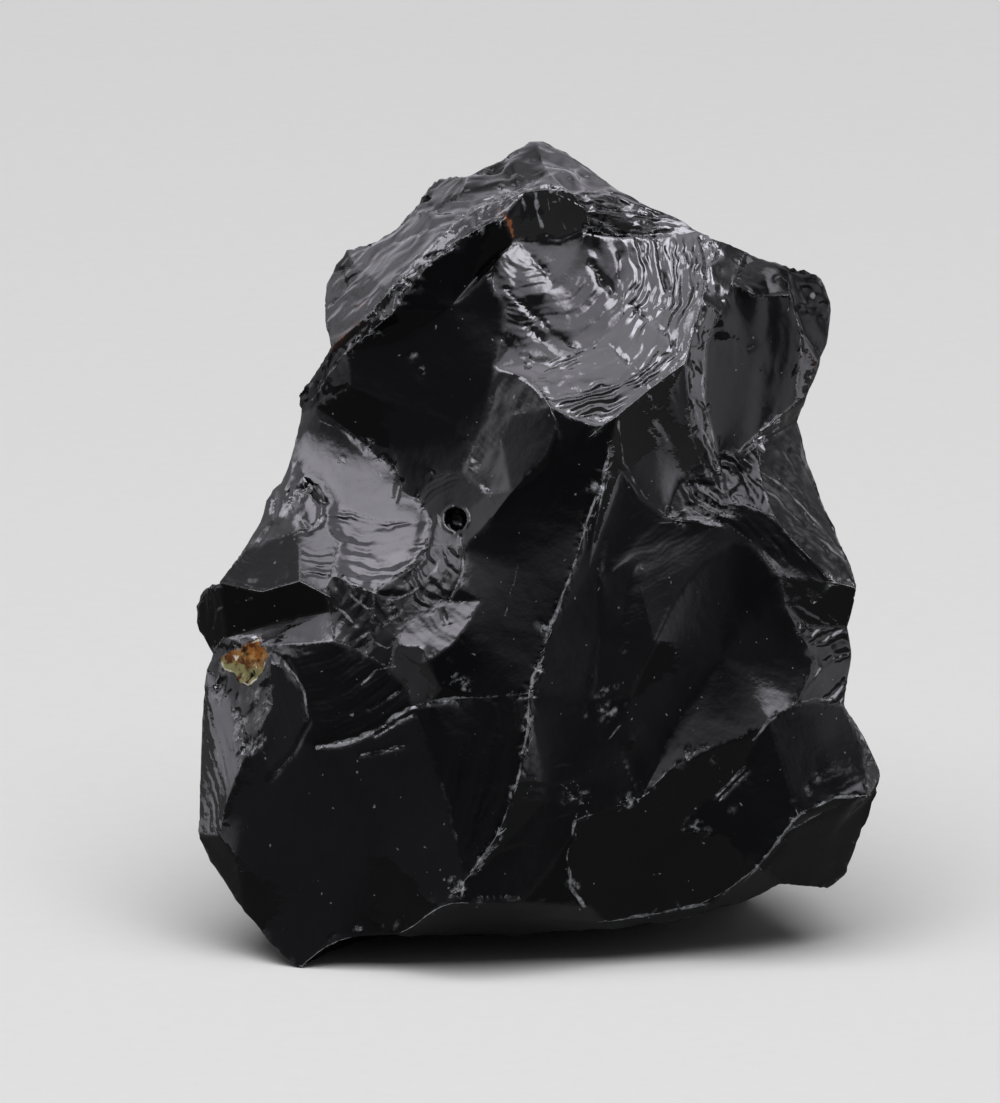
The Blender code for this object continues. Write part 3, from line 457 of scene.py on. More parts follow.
# Curved ripples: each scar's swell round the point where it was struck.
# over: the facets that it crosses, or outline, for the rear: across and up in mm. centre: where it
# was struck, or along: a line that its ripples follow. gap and height: of its ripples in mm.
# first: how far from the centre they start. fade: how soon they reach full height from its border.
# warp: how far they wander. patchy: how much of the scar stays smooth. rays: fine hackles that run
# out from the centre, so many to the full circle. lump: the height of uneven swells, lumpSize wide.
usual = {"gap": 1.0, "height": 0.0, "fade": 0.25, "first": 2.0, "warp": 0.4, "patchy": 0.4,
         "rays": 0, "rayHeight": 0.0, "lump": 0.0, "lumpSize": 1.6, "seed": 1}
scars = {
    "shell": {"over": "shellInner shellMiddle shellOuter", "centre": (1.0, 34.65), "gap": 1.2,
              "height": 0.1, "fade": 0.5, "first": 1.0, "warp": 0.6, "lump": 0.45, "lumpSize": 3.0,
              "seed": 11},
    "shellStreaks": {"over": "shellMiddle shellOuter", "centre": (1.0, 34.65), "gap": 0.5,
                     "height": 0.1, "fade": 0.4, "first": 3.0, "warp": 0.7, "patchy": 0.15,
                     "seed": 12},
    "bulb": {"over": "shellInner", "centre": (-0.4, 36.2), "gap": 0.9, "height": 0.05, "first": 0.2,
             "warp": 0.8, "patchy": 0.5, "lump": 0.2, "lumpSize": 1.3, "seed": 14},
    "pan": {"over": "panTop panMiddle panFoot", "centre": (-8.0, 33.0), "gap": 2.8, "height": 0.03,
            "fade": 0.8, "first": 5.0, "warp": 0.5, "rays": 90, "rayHeight": 0.012, "lump": 0.35,
            "lumpSize": 3.6, "seed": 22},
    "panFoot": {"over": "panMiddle panFoot", "centre": (-8.6, 29.4), "gap": 0.62, "height": 0.05,
                "first": 5.6, "warp": 0.55, "patchy": 0.3, "seed": 21},
    "blister": {"over": "blisterUp blisterLow blisterRight", "centre": (-4.2, 22.4), "gap": 0.9,
                "height": 0.04, "first": 0.9, "warp": 0.5, "seed": 26},
    "rippled": {"over": "rippled", "centre": (-10.9, 25.4), "gap": 0.42, "height": 0.05,
                "first": 1.4, "warp": 0.25, "patchy": 0.1, "seed": 23},
    "shelf": {"over": "shelf", "centre": (-12.0, 26.5), "gap": 0.55, "height": 0.03, "warp": 0.5,
              "rays": 50, "rayHeight": 0.05, "seed": 24},
    "bar": {"over": "bar sill", "centre": (-30.0, 16.0), "gap": 2.4, "height": 0.03, "rays": 90,
            "rayHeight": 0.02, "seed": 25},
    "nub": {"over": "nub", "centre": (-24.0, 17.0), "gap": 0.45, "height": 0.05, "first": 3.0,
            "warp": 0.3, "seed": 27},
    "hackleUp": {"over": "hackleUp", "centre": (6.0, 30.0), "gap": 0.6, "height": 0.05,
                 "first": 3.0, "warp": 0.6, "rays": 90, "rayHeight": 0.035, "seed": 32},
    "hackleLow": {"over": "hackleLow", "centre": (-12.0, 20.0), "gap": 0.65, "height": 0.05,
                  "first": 1.5, "warp": 0.7, "patchy": 0.5, "rays": 30, "rayHeight": 0.025,
                  "seed": 31},
    "kite": {"over": "kite underKite", "centre": (-1.0, 22.0), "height": 0.035, "warp": 0.5,
             "seed": 35},
    "vault": {"over": "vault", "centre": (-12.0, 18.5), "gap": 0.9, "height": 0.03, "fade": 0.4,
              "patchy": 0.6, "seed": 33},
    "bank": {"over": "bank crescent", "centre": (-46.0, 2.0), "gap": 0.36, "height": 0.008,
             "first": 3.0, "warp": 0.3, "patchy": 0.2, "seed": 41},
    "toe": {"over": "toe wedge", "centre": (-20.0, 12.0), "gap": 1.4, "height": 0.04, "warp": 0.6,
            "seed": 42},
    "slope": {"over": "slopeLong slopeLow slopeTop slopeNick", "centre": (-34.0, 66.0),
              "height": 0.08, "first": 3.0, "warp": 0.8, "patchy": 0.2, "lump": 0.2,
              "lumpSize": 3.0, "seed": 51},
    "slopeFine": {"over": "slopeLong slopeLow slopeTop browStrip", "centre": (-34.0, 66.0),
                  "gap": 0.45, "height": 0.05, "first": 3.0, "warp": 0.6, "patchy": 0.3,
                  "seed": 52},
    "peak": {"over": "peakLeft peakRight", "centre": (-3.0, 48.0), "gap": 0.8, "height": 0.05,
             "warp": 0.6, "lump": 0.6, "lumpSize": 1.3, "seed": 55},
    "brow": {"over": "browStrip chipBand", "centre": (4.0, 14.0), "gap": 0.34, "height": 0.09,
             "warp": 0.25, "patchy": 0.2, "lump": 0.12, "lumpSize": 1.4, "along": crestLine,
             "seed": 56},
    "pocket": {"over": "pocket", "centre": (0.0, 45.0), "rays": 130, "rayHeight": 0.09, "seed": 53},
    "plates": {"over": "plateUpper plateLower", "centre": (2.0, 10.0), "gap": 0.6, "height": 0.12,
               "warp": 0.5, "patchy": 0.1, "seed": 54},
    "grit": {"over": "grit rust", "centre": (-13.0, 30.0), "gap": 0.8, "height": 0.06, "first": 0.4,
             "warp": 0.6, "lump": 0.25, "lumpSize": 1.1, "seed": 57},
    "fluting": {"over": "fluting", "centre": (22.0, 31.0), "gap": 0.8, "height": 0.12, "fade": 0.1,
                "warp": 0.2, "patchy": 0.1, "seed": 61},
    "window": {"over": "window edge", "centre": (-1.0, 33.0), "gap": 1.7, "height": 0.05,
               "fade": 0.5, "warp": 0.8, "patchy": 0.3, "rays": 60, "rayHeight": 0.02, "seed": 62},
    "knob": {"over": "mottle knob", "centre": (12.5, 37.5), "gap": 0.8, "height": 0.06,
             "first": 0.5, "warp": 0.8, "lump": 0.28, "lumpSize": 1.3, "seed": 63},
    "cove": {"over": "cove", "centre": (12.5, 30.0), "gap": 1.5, "height": 0.05, "fade": 0.4,
             "patchy": 0.5, "rays": 60, "rayHeight": 0.02, "seed": 64},
    "flakes": {"over": "flakes saddle", "centre": (9.0, 24.6), "gap": 0.6, "height": 0.1,
               "first": 0.3, "warp": 0.6, "patchy": 0.2, "seed": 65},
    "pane": {"over": "pane", "centre": (30.0, 36.0), "gap": 0.85, "height": 0.06, "patchy": 0.2,
             "seed": 71},
    "ladder": {"over": "ladder pit", "centre": (30.0, 36.0), "gap": 0.6, "height": 0.05,
               "warp": 0.5, "patchy": 0.5, "seed": 72},
    "slats": {"over": "slats rim", "centre": (24.0, 4.0), "gap": 0.55, "height": 0.1, "patchy": 0.2,
              "seed": 73},
    "scoop": {"over": "scoop", "centre": (13.5, 21.0), "gap": 2.6, "height": 0.03, "fade": 1.2,
              "warp": 1.2, "rays": 16, "rayHeight": 0.02, "seed": 74},
    "lobe": {"over": "lobe heel", "centre": (12.0, 20.0), "gap": 1.3, "height": 0.025, "fade": 0.4,
             "warp": 0.5, "patchy": 0.6, "seed": 75},
    "bowl": {"over": "bowl", "centre": (2.0, 15.0), "gap": 2.6, "height": 0.03, "fade": 0.8,
             "warp": 0.8, "patchy": 0.5, "seed": 76},
    "flank": {"over": "flank plain shadow", "centre": (-1.0, 34.0), "gap": 1.7, "height": 0.035,
              "fade": 0.4, "warp": 1.0, "patchy": 0.7, "lump": 0.1, "lumpSize": 3.0, "seed": 81},
    "dull": {"over": "dull band diamond", "centre": (-1.0, 34.0), "gap": 0.9, "height": 0.01,
             "warp": 0.8, "rays": 90, "rayHeight": 0.012, "lump": 0.08, "lumpSize": 2.2,
             "seed": 82},
    "core": {"over": "coreTop coreFoot tri", "centre": (8.0, 34.0), "gap": 3.5, "height": 0.015,
             "fade": 0.8, "first": 5.0, "seed": 83},
    "strip": {"over": "strip strips", "centre": (8.0, 44.0), "height": 0.04, "warp": 0.6,
              "rays": 120, "rayHeight": 0.12, "lump": 0.15, "lumpSize": 1.2, "seed": 84},
    "slab": {"over": "slab hollowFoot", "centre": (-6.0, 20.0), "gap": 3.4, "height": 0.015,
             "fade": 1.0, "seed": 85},
    "hollow": {"over": "hollowTop", "centre": (-4.0, 38.0), "gap": 2.6, "height": 0.02, "fade": 0.8,
               "patchy": 0.6, "seed": 86},
    "longScar": {"outline": [(-7.2, 27.6), (-2.6, 26.4), (-0.6, 17.4), (-4.4, 8.4), (-10.6, 8.8),
                             (-9.4, 19.6)],
                 "centre": (-3.6, 30.0), "gap": 1.6, "height": 0.09, "fade": 0.6, "warp": 0.5,
                 "rays": 30, "rayHeight": 0.03, "seed": 91},
    "wideScar": {"outline": [(2.2, 32.2), (8.4, 28.4), (7.2, 21.4), (6.4, 13.4), (-0.6, 17.4),
                             (-2.6, 26.4)],
                 "centre": (6.8, 32.5), "gap": 1.9, "height": 0.12, "fade": 0.6, "warp": 0.5,
                 "patchy": 0.2, "rays": 24, "rayHeight": 0.03, "seed": 92},
    "nape": {"outline": [(-2.4, 37.8), (3.0, 36.4), (2.2, 32.2), (-2.6, 26.4), (-7.2, 27.6),
                         (-4.6, 32.6)],
             "centre": (0.8, 39.0), "gap": 1.2, "height": 0.08, "fade": 0.5, "first": 1.5,
             "rays": 30, "rayHeight": 0.04, "seed": 93},
    "cheek": {"outline": [(8.4, 28.4), (11.6, 26.2), (12.8, 19.4), (11.6, 12.2), (6.4, 13.4),
                          (7.2, 21.4)],
              "centre": (13.5, 29.0), "gap": 1.5, "height": 0.1, "fade": 0.5, "warp": 0.5,
              "rays": 40, "rayHeight": 0.04, "seed": 94},
    "waist": {"outline": [(-0.6, 17.4), (6.4, 13.4), (11.6, 12.2), (14.4, 10.6), (10.4, 6.9),
                          (3.4, 8.0), (-4.4, 8.4)],
              "centre": (2.0, 3.0), "gap": 1.1, "height": 0.08, "fade": 0.4, "first": 1.5,
              "warp": 0.5, "rays": 40, "rayHeight": 0.04, "seed": 95},
    "panBack": {"outline": [(-13.6, 23.75), (-12.0, 27.65), (-9.6, 30.4), (-7.2, 27.6),
                            (-9.4, 19.6), (-13.5, 18.6)],
                "centre": (-8.5, 32.0), "gap": 1.3, "height": 0.09, "fade": 0.4, "first": 1.5,
                "warp": 0.5, "rays": 36, "rayHeight": 0.04, "seed": 96},
    "heelBack": {"outline": [(-14.6, 11.4), (-13.5, 18.6), (-9.4, 19.6), (-10.6, 8.8), (-13.0, 3.0),
                             (-16.7, 5.65)],
                 "centre": (-17.5, 20.0), "gap": 1.4, "height": 0.1, "fade": 0.4, "first": 1.5,
                 "warp": 0.5, "rays": 36, "rayHeight": 0.04, "seed": 97},
}
for name, given in scars.items():
    sides = sidesOf(given.get("over", "")) or closed(given["outline"])
    scars[name] = {**usual, **given, "sides": sides}

# grooves and cracks cut into the scars: how wide and how deep in mm, then the path
grooves = [
    (0.11, 0.16, [(-1.75, 33.9), (0.4, 31.9), (1.75, 30.9)]),
    (0.1, 0.14, [(-1.0, 32.4), (0.1, 31.3), (1.0, 30.4)]),
    (0.09, 0.14, [(-2.0, 31.6), (-1.2, 30.9), (-0.6, 30.1)]),
    (0.08, 0.12, [(-1.6, 31.7), (-0.8, 31.0), (-0.4, 30.4)]),
    (0.16, 0.2, [(-0.3, 35.4), (0.2, 34.9), (0.7, 34.2)]),
    (0.14, 0.26, [(2.6, 35.2), (3.1, 34.4), (3.6, 33.7)]),
    (0.1, 0.2, [(4.0, 35.7), (4.05, 34.3)]),
    (0.13, 0.24, [(5.85, 36.3), (6.1, 34.9), (6.4, 33.9)]),
    (0.14, 0.26, [(8.05, 36.4), (8.3, 35.0), (8.55, 33.8)]),
    (0.1, 0.15, [(4.6, 33.1), (5.8, 32.2), (6.9, 30.9)]),
    (0.1, 0.13, [(3.6, 31.1), (4.9, 29.6), (5.9, 28.2)]),
    (0.16, 0.28, [(-11.6, 24.3), (-10.75, 23.4)]),
    (0.13, 0.16, [(-12.0, 23.9), (-11.3, 23.95), (-10.9, 23.2), (-11.0, 22.2), (-11.6, 21.9),
                  (-12.0, 22.6)]),
    (0.14, 0.12, [(-5.4, 22.4), (-5.8, 20.4), (-6.9, 19.3)]),
    (0.1, 0.08, [(-3.9, 21.6), (-3.85, 19.9), (-4.5, 18.4)]),
    (0.12, 0.13, [(-11.1, 11.1), (-9.0, 11.5), (-6.5, 13.1), (-4.25, 13.55)]),
    (0.1, 0.1, [(-8.25, 11.65), (-6.25, 12.8)]),
    (0.1, 0.07, [(-9.0, 10.65), (-6.75, 11.15)]),
    (0.1, 0.09, [(-8.5, 13.0), (-7.0, 13.9), (-6.75, 14.25)]),
    (0.14, 0.14, [(-12.75, 15.4), (-11.75, 13.9), (-11.55, 12.3), (-12.25, 10.9), (-13.5, 9.4)]),
    (0.08, 0.1, [(8.75, 8.65), (10.25, 10.15)]),
    (0.07, 0.08, [(8.95, 8.5), (10.4, 9.95)]),
    (0.12, 0.14, [(10.25, 4.3), (12.6, 7.1), (14.9, 8.1)]),
    (0.09, 0.12, [(10.6, 4.5), (12.2, 6.3)]),
    (0.12, 0.1, [(10.0, 24.9), (12.0, 23.5), (13.9, 21.6), (15.5, 20.4)]),
    (0.13, 0.14, [(-10.5, 33.4), (-8.0, 36.0), (-4.0, 37.65)]),
    (0.1, 0.1, [(-10.5, 34.2), (-8.2, 36.6), (-6.3, 37.7)]),
    (0.12, 0.14, [(-10.6, 35.0), (-9.9, 35.0), (-9.9, 33.9), (-10.4, 33.4)]),
    (0.14, 0.3, [(3.0, 38.1), (4.5, 37.9), (6.0, 37.6)]),
    (0.16, 0.32, [(2.3, 36.9), (4.2, 36.7), (6.2, 36.75)]),
    (0.1, 0.12, [(-10.2, 30.2), (-9.7, 29.0), (-11.0, 28.6)]),
    (0.4, 0.2, [(11.5, 33.6), (11.35, 31.0), (11.1, 28.6), (10.9, 26.6)]),
    (0.3, 0.14, [(9.3, 31.3), (10.2, 31.15), (11.2, 31.4)]),
    (0.3, 0.12, [(12.9, 32.8), (13.0, 30.2), (12.5, 27.6)]),
    (0.3, 0.3, [(-5.9, 38.6), (-5.2, 37.9), (-3.6, 38.0)]),
    (0.25, 0.2, [(-2.4, 39.9), (-1.6, 39.6), (-1.2, 38.9)]),
]

# pale hairlines, which are crushed edges, scratches and the rims of small flakes, and one painted
# highlight inside the bubble: how wide in mm, then the path
hairlinesAndGlints = [
    (0.05, pathOf("spine0 spine1 spine2 spine3 spine4 spine5 spine6 spine7 spine8 spine9 spine10 "
                  "spine11")),
    (0.05, [(-12.75, 15.4), (-11.75, 13.9), (-11.55, 12.3), (-12.25, 10.9), (-13.5, 9.4)]),
    (0.07, [(-11.1, 11.1), (-9.0, 11.5), (-6.5, 13.1), (-4.25, 13.55)]),
    (0.05, [(-8.25, 11.65), (-6.25, 12.8)]),
    (0.03, [(-9.0, 10.65), (-6.75, 11.15)]),
    (0.04, [(-8.5, 13.0), (-7.0, 13.9), (-6.75, 14.25)]),
    (0.05, [(-4.25, 13.55), (-2.6, 13.5), (-0.55, 13.8)]),
    (0.06, [(2.2, 3.1), (1.55, 4.15), (1.35, 5.65), (1.7, 7.5), (2.1, 8.4)]),
    (0.07, [(16.3, 11.15), (15.9, 12.3), (15.15, 13.2), (13.9, 13.45), (12.75, 13.2), (11.4, 12.4),
            (10.6, 11.5)]),
    (0.06, [(16.45, 8.7), (14.75, 8.6), (12.85, 7.7), (10.85, 5.15), (8.6, 3.35), (6.2, 2.85),
            (3.2, 2.4)]),
    (0.03, [(15.0, 8.2), (12.4, 6.9), (10.25, 4.3)]),
    (0.03, [(8.75, 8.65), (10.25, 10.15)]),
    (0.03, [(9.05, 8.6), (10.45, 9.95)]),
    (0.04, [(-3.9, 21.65), (-3.85, 19.9), (-4.5, 18.4)]),
    (0.03, [(-1.0, 20.4), (-1.75, 17.65)]),
    (0.04, [(3.9, 27.3), (4.15, 25.2), (5.2, 23.5), (6.1, 22.7), (7.2, 22.9)]),
    (0.05, [(7.5, 30.5), (7.65, 28.2), (8.5, 26.0), (8.9, 25.0)]),
    (0.04, [(8.2, 31.2), (8.1, 28.6), (8.7, 26.2)]),
    (0.04, [(9.9, 25.9), (11.4, 27.2), (13.0, 28.4)]),
    (0.04, [(10.3, 25.7), (11.9, 27.0)]),
    (0.04, [(10.2, 25.4), (12.0, 24.2), (13.8, 22.4), (15.5, 20.4)]),
    (0.04, [(-6.5, 33.9), (-5.6, 35.2), (-4.0, 36.6), (-2.4, 37.5), (-1.9, 37.6)]),
    (0.05, pathOf("crest1 crest2 crest3 crest4 crest5 crest6")),
    (0.05, [(-2.0, 38.9), (-1.0, 38.9), (0.25, 39.1), (1.6, 38.85), (2.9, 38.3), (5.4, 37.9)]),
    (0.03, [(2.4, 37.1), (4.2, 36.9), (6.6, 37.0)]),
    (0.04, [(-9.5, 31.2), (-10.8, 29.4), (-11.4, 28.4)]),
    (0.03, [(-10.6, 30.4), (-11.2, 28.9)]),
    (0.04, [(-10.75, 23.3), (-10.9, 22.4), (-11.5, 21.9)]),
    (0.06, [(-12.0, 23.7), (-11.4, 24.2), (-10.85, 23.6), (-10.75, 22.6), (-11.3, 22.0),
            (-11.9, 22.4)]),
    (0.16, [(-13.35, 15.3), (-13.15, 14.9), (-13.2, 14.5)]),
    (0.1, [(-12.65, 15.15), (-12.5, 14.8)]),
    (0.1, [(-14.6, 16.6), (-13.95, 16.5), (-13.75, 16.0)]),
    (0.06, [(-15.6, 16.5), (-14.6, 16.6), (-13.8, 16.3)]),
    (0.12, [(-0.9, 38.5), (-0.75, 37.8), (-0.7, 37.0)]),
    (0.13, [(-0.2, 38.7), (-0.15, 38.0), (0.05, 37.1)]),
    (0.08, [(0.4, 38.6), (0.55, 37.4)]),
    (0.1, [(0.95, 38.5), (1.05, 37.6), (1.25, 37.0)]),
    (0.05, [(-5.2, 22.9), (-4.7, 21.1), (-5.2, 19.8), (-6.6, 18.7), (-8.2, 18.2)]),
    # a painted highlight: the lit lower wall inside the bubble, drawn as a pale crescent
    (0.12, [(-4.4, 22.3), (-4.15, 22.15), (-3.95, 22.25)]),
    (0.05, [(-8.5, 16.4), (-7.6, 16.0), (-6.9, 16.4)]),
    (0.06, [(-8.9, 14.2), (-8.2, 14.9), (-7.2, 15.1)]),
    (0.05, [(-9.9, 19.0), (-8.6, 18.0), (-7.3, 18.1)]),
    (0.04, [(-10.2, 18.0), (-9.2, 17.2)]),
    (0.05, [(-11.0, 27.4), (-9.6, 26.6), (-8.3, 25.3), (-7.4, 23.7)]),
    (0.04, [(3.3, 11.4), (4.0, 12.2)]),
    (0.03, [(7.0, 10.7), (8.6, 11.2)]),
    (0.03, [(2.2, 8.2), (1.0, 9.2)]),
    (0.03, [(2.6, 8.6), (1.6, 9.4)]),
    (0.03, [(3.9, 7.9), (5.0, 8.8)]),
]

# Chips: hollow bites out of the worn ridges. every: mm between chips. ball: the radius of the
# hollow, from and to. deep: how far it bites. wander: how far off the line. pale: how crushed the
# glass in it is. long: how many times longer than wide it is. way: the angle along which it lies.
usualWear = {"ball": (0.3, 0.9), "deep": (0.02, 0.08)}
worn = {
    "spine": {"path": pathOf("spine0 spine1 spine2 spine3 spine4 spine5 spine6 spine7 spine8 "
                             "spine9 spine10 spine11"),
              "every": 0.26, "ball": (0.25, 0.6), "deep": (0.02, 0.07), "wander": 0.04,
              "pale": 0.9},
    "crest": {"path": crestLine,
              "every": 0.3, "deep": (0.03, 0.1), "wander": 0.12, "pale": 0.6},
    "brow": {"path": pathOf("brow1 brow2 brow3 brow4 brow5 brow6 brow7"),
             "every": 0.35, "deep": (0.03, 0.1), "wander": 0.12, "pale": 0.5},
    "keel": {"path": pathOf("keel5 keel6 keel7 keel8 bowl1 scoop8"),
             "every": 0.4, "ball": (0.25, 0.7), "deep": (0.02, 0.07), "wander": 0.05, "pale": 0.8},
    "heel": {"path": pathOf("corner0 corner1 corner2 heel1 heel2 heel3 heel4"),
             "every": 0.45, "ball": (0.25, 0.7), "deep": (0.02, 0.07), "wander": 0.05, "pale": 0.7},
    "lobeRim": {"path": pathOf("corner0 arc4 right9 arc2 arc1 arc0"),
                "every": 0.45, "ball": (0.25, 0.7), "deep": (0.02, 0.06), "wander": 0.04,
                "pale": 0.6},
    "dotted": {"path": pathOf("ridge4 ridge5 spine5"),
               "every": 0.4, "ball": (0.2, 0.4), "deep": (0.02, 0.05), "wander": 0.03, "pale": 0.9},
    "foot": {"path": [(-11.95, 0.05), (-10.25, 1.75), (-8.2, 2.3), (-6.4, 2.1), (-4.9, 3.35),
                      (-3.9, 3.35)],
             "every": 0.5, "ball": (0.25, 0.6), "deep": (0.02, 0.06), "wander": 0.05, "pale": 0.7},
    "sawtooth": {"path": [(-8.8, 26.25), (-7.15, 25.1), (-6.95, 23.55), (-5.95, 23.45),
                          (-5.5, 22.4)],
                 "every": 0.5, "ball": (0.3, 0.8), "deep": (0.03, 0.08), "wander": 0.08,
                 "pale": 0.5},
    "shellRim": {"path": pathOf("shell8 shell10 shell11 shell12 shell13 shell14 top5"),
                 "every": 0.6, "wander": 0.08, "pale": 0.5},
    "shellTop": {"path": pathOf("brow7 ledge1 ledge2 ledge3 ledge5 top5"),
                 "every": 0.6, "wander": 0.08, "pale": 0.4},
    "flute": {"path": pathOf("wall2 wall12 wall11 wall10 flake3 flake4 flake5 cove1"),
              "every": 0.8, "wander": 0.08, "pale": 0.3},
    "frame": {"path": pathOf("wall9 wall7 wall5 wall3 top7"),
              "every": 0.8, "wander": 0.08, "pale": 0.3},
    "mesa": {"path": [(-10.3, 20.1), (-10.1, 21.15), (-10.9, 22.8), (-11.9, 24.0), (-13.0, 23.0)],
             "every": 0.7, "wander": 0.1, "pale": 0.4},
    "ledge": {"path": [(-16.2, 18.0), (-13.9, 18.8), (-12.0, 19.35), (-10.75, 18.7), (-9.65, 19.15),
                       (-8.25, 18.9), (-6.9, 17.2), (-5.0, 18.25), (-4.2, 16.15)],
              "every": 0.6, "wander": 0.1, "pale": 0.4},
    "kite": {"path": [(-5.0, 18.25), (-3.0, 18.4), (-4.2, 16.15), (-4.9, 14.0), (-5.4, 13.4)],
             "every": 0.7, "wander": 0.1, "pale": 0.4},
    "bank": {"path": pathOf("left6 ochre4 bank2 bank1 toe3"),
             "every": 0.7, "ball": (0.3, 0.8), "deep": (0.02, 0.07), "wander": 0.06, "pale": 0.3},
    "slatEdge": {"path": pathOf("right6 pit1 mid4 mid3 mid1"),
                 "every": 0.7, "ball": (0.3, 0.8), "deep": (0.02, 0.07), "wander": 0.06,
                 "pale": 0.3},
}
for name, given in worn.items():
    worn[name] = {**usualWear, **given}

# the stone: its solid cut finer, most of all on the front
stone = {
    "ridgeAngle": 13.0,     # degrees: a blunter edge is smoothed over
    "plainReach": 0.45,     # mm: the longest side of a triangle on a smooth part of the front
    "scarReach": 0.25,      # in a rippled scar
    "edgeReach": 0.17,      # beside a worn ridge
    "hairReach": 0.15,      # beside a pale hairline
    "bubbleReach": 0.1,
    "rearReach": 0.75,
    "fineGap": 1.3,         # mm: ripples closer together than this need the finer cut
    "edgeMargin": 0.4,      # mm to each side of a worn ridge
    "hairMargin": 0.15,
    "passes": 6,
    "border": 0.45,         # mm: how near a scar's border a ridge lies
    "cliffAngle": 48.0,     # degrees: a sharper edge is a ridge wherever it lies
    "firstRounds": 16,
    "rounds": 12,
    "smoothBelow": 34.0,    # degrees: sharper edges than this are shaded sharp
}

bubble = {"spot": (-4.2, 22.45), "radius": 0.56, "depth": 0.5, "cutFiner": 1.0}


def facingOf(normals):
    return normals[:, 2] * sine - normals[:, 1] * cosine    # 1 where it faces the front


def reachAt(points, normals):
    spots = toFront(points)[:, :2]
    reach = np.full(len(spots), stone["plainReach"])
    for scar in scars.values():
        if "over" in scar and scar["gap"] < stone["fineGap"]:
            near = around(spots, scar["sides"], 0.1)
            reach[near[insideBy(spots[near], scar["sides"]) > -0.1]] = stone["scarReach"]
    lines = [("edge", ridge["path"]) for ridge in worn.values()]
    lines += [("hair", path) for _, path in hairlinesAndGlints]
    for kind, path in lines:
        margin = stone[kind + "Margin"]
        near = around(spots, path, margin)
        reach[near[fromPath(spots[near], path) < margin]] = stone[kind + "Reach"]
    toBubble = np.linalg.norm(spots - bubble["spot"], axis=1)
    reach[toBubble < bubble["cutFiner"]] = stone["bubbleReach"]
    rear = ease(0.12, -0.2, facingOf(normals))
    return reach + (stone["rearReach"] - reach) * rear


# on the front a ridge lies where two scars meet: any other crease is smoothed over
def ridgesOf(points, faces):
    edges, angle, _ = bends(points, faces)
    ahead = np.flatnonzero(facingOf(pointNormals(points, faces)[edges].mean(axis=1)) > 0.1)
    spot = toFront(points[edges].mean(axis=1)[ahead])[:, :2]
    fromBorder = np.full(len(ahead), 1e9)
    for name in facets:
        for side in sidesOf(name):
            fromBorder = np.minimum(fromBorder, fromPath(spot, side))
    creased = np.ones(len(edges), dtype=bool)
    creased[ahead] = (fromBorder < stone["border"]) | (angle[ahead] > stone["cliffAngle"])
    sharp = (angle > stone["ridgeAngle"]) & creased
    return edges[sharp, 0] << 32 | edges[sharp, 1]


print("reading the solid")
points, faces = readSolid(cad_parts["crystal"])
ridgeKeys = ridgesOf(points, faces)
points = relax(points, faces, ridgeKeys, stone["firstRounds"], ridgesToo=False)
for _ in range(stone["passes"]):
    points, faces, ridgeKeys = splitLong(points, faces, ridgeKeys, reachAt)
points = relax(points, faces, ridgeKeys, stone["rounds"])
print("stone cut finer:", len(faces), "triangles")

normals = pointNormals(points, faces)
spots = toFront(points)
facing = facingOf(normals)
drop = np.zeros(len(points))       # how far each point sinks, in mm
bruise = np.zeros(len(points))     # pale crushed glass
rust = np.zeros(len(points))       # reddish brown, where the edge is thin, with a painted copper glint where strongest
ridgeWearAndGlint = np.zeros(len(points))       # the pale line of a sharp ridge: crushed wear and a painted highlight
hairlineAndGlint = np.ones(len(points))    # how far the nearest pale hairline is, in mm, with the painted bubble highlight
gloss = np.ones(len(points))       # how strongly it mirrors
phase = np.zeros(len(points))      # where each point is in its scar's fine ripples
swing = np.zeros(len(points))      # how high they stand there, in mm


def rippleScar(scar):
    near = around(spots[:, :2], scar["sides"], 0)
    side = ease(0.05, 0.3, facing[near] + 0.15 if "over" in scar else -facing[near])
    near, side = near[side > 0], side[side > 0]
    spot, place, seed, gap = spots[near, :2], spots[near], scar["seed"], scar["gap"]
    hold = ease(0, scar["fade"], insideBy(spot, scar["sides"])) * side
    offset = spot - scar["centre"]
    angle, distance = np.arctan2(offset[:, 1], offset[:, 0]), np.hypot(offset[:, 0], offset[:, 1])
    arc = angle * distance.mean()
    if "along" in scar:
        distance = fromPath(spot, scar["along"])
    distance = distance + layered(place, 3.0 * gap + 1.0, seed) * scar["warp"]
    # each ring waxes and wanes along its way
    ring = np.stack([arc / 2.4, distance / gap * 0.7, np.full(len(arc), 0.5)], axis=1)
    streak = ease(-0.45, 0.4, layered(ring, 1.0, seed + 3))
    patches = ease(scar["patchy"] - 0.9, 0.35, layered(place, 2.2, seed + 5) + 0.35) * streak
    started = ease(scar["first"], scar["first"] + gap, distance) * hold
    # wide ripples are cut into the stone, and finer ones are left to the finish
    if gap >= 0.9:
        swell = np.sin(distance / gap * math.tau)
        drop[near] -= scar["height"] * 0.5 * swell * (1 - 0.25 * swell) * patches * started
        fine, stand = gap * 0.34, scar["height"] * 0.1
    else:
        fine, stand = gap, scar["height"] * 0.5
    if scar["rays"]:
        turn = angle * scar["rays"] / math.tau
        across = np.stack([turn, distance * 0.22, np.zeros(len(turn))], axis=1)
        drop[near] += scar["rayHeight"] * 0.5 * layered(across, 0.55, seed + 9) * hold
    if scar["lump"]:
        drop[near] += scar["lump"] * 0.5 * grain(place, scar["lumpSize"], seed + 13) * hold
    phase[near] = np.where(hold > 0, distance / fine, phase[near])
    swing[near] = np.where(hold > 0, stand * patches * started, swing[near])


for name, (shine, _) in facets.items():
    sides = sidesOf(name)
    near = around(spots[:, :2], sides, 0.15)
    near = near[facing[near] > -0.1]
    share = ease(-0.12, 0.12, insideBy(spots[near, :2], sides))
    gloss[near] += (shine - gloss[near]) * share
for scar in scars.values():
    rippleScar(scar)
print("scars rippled:", len(scars))

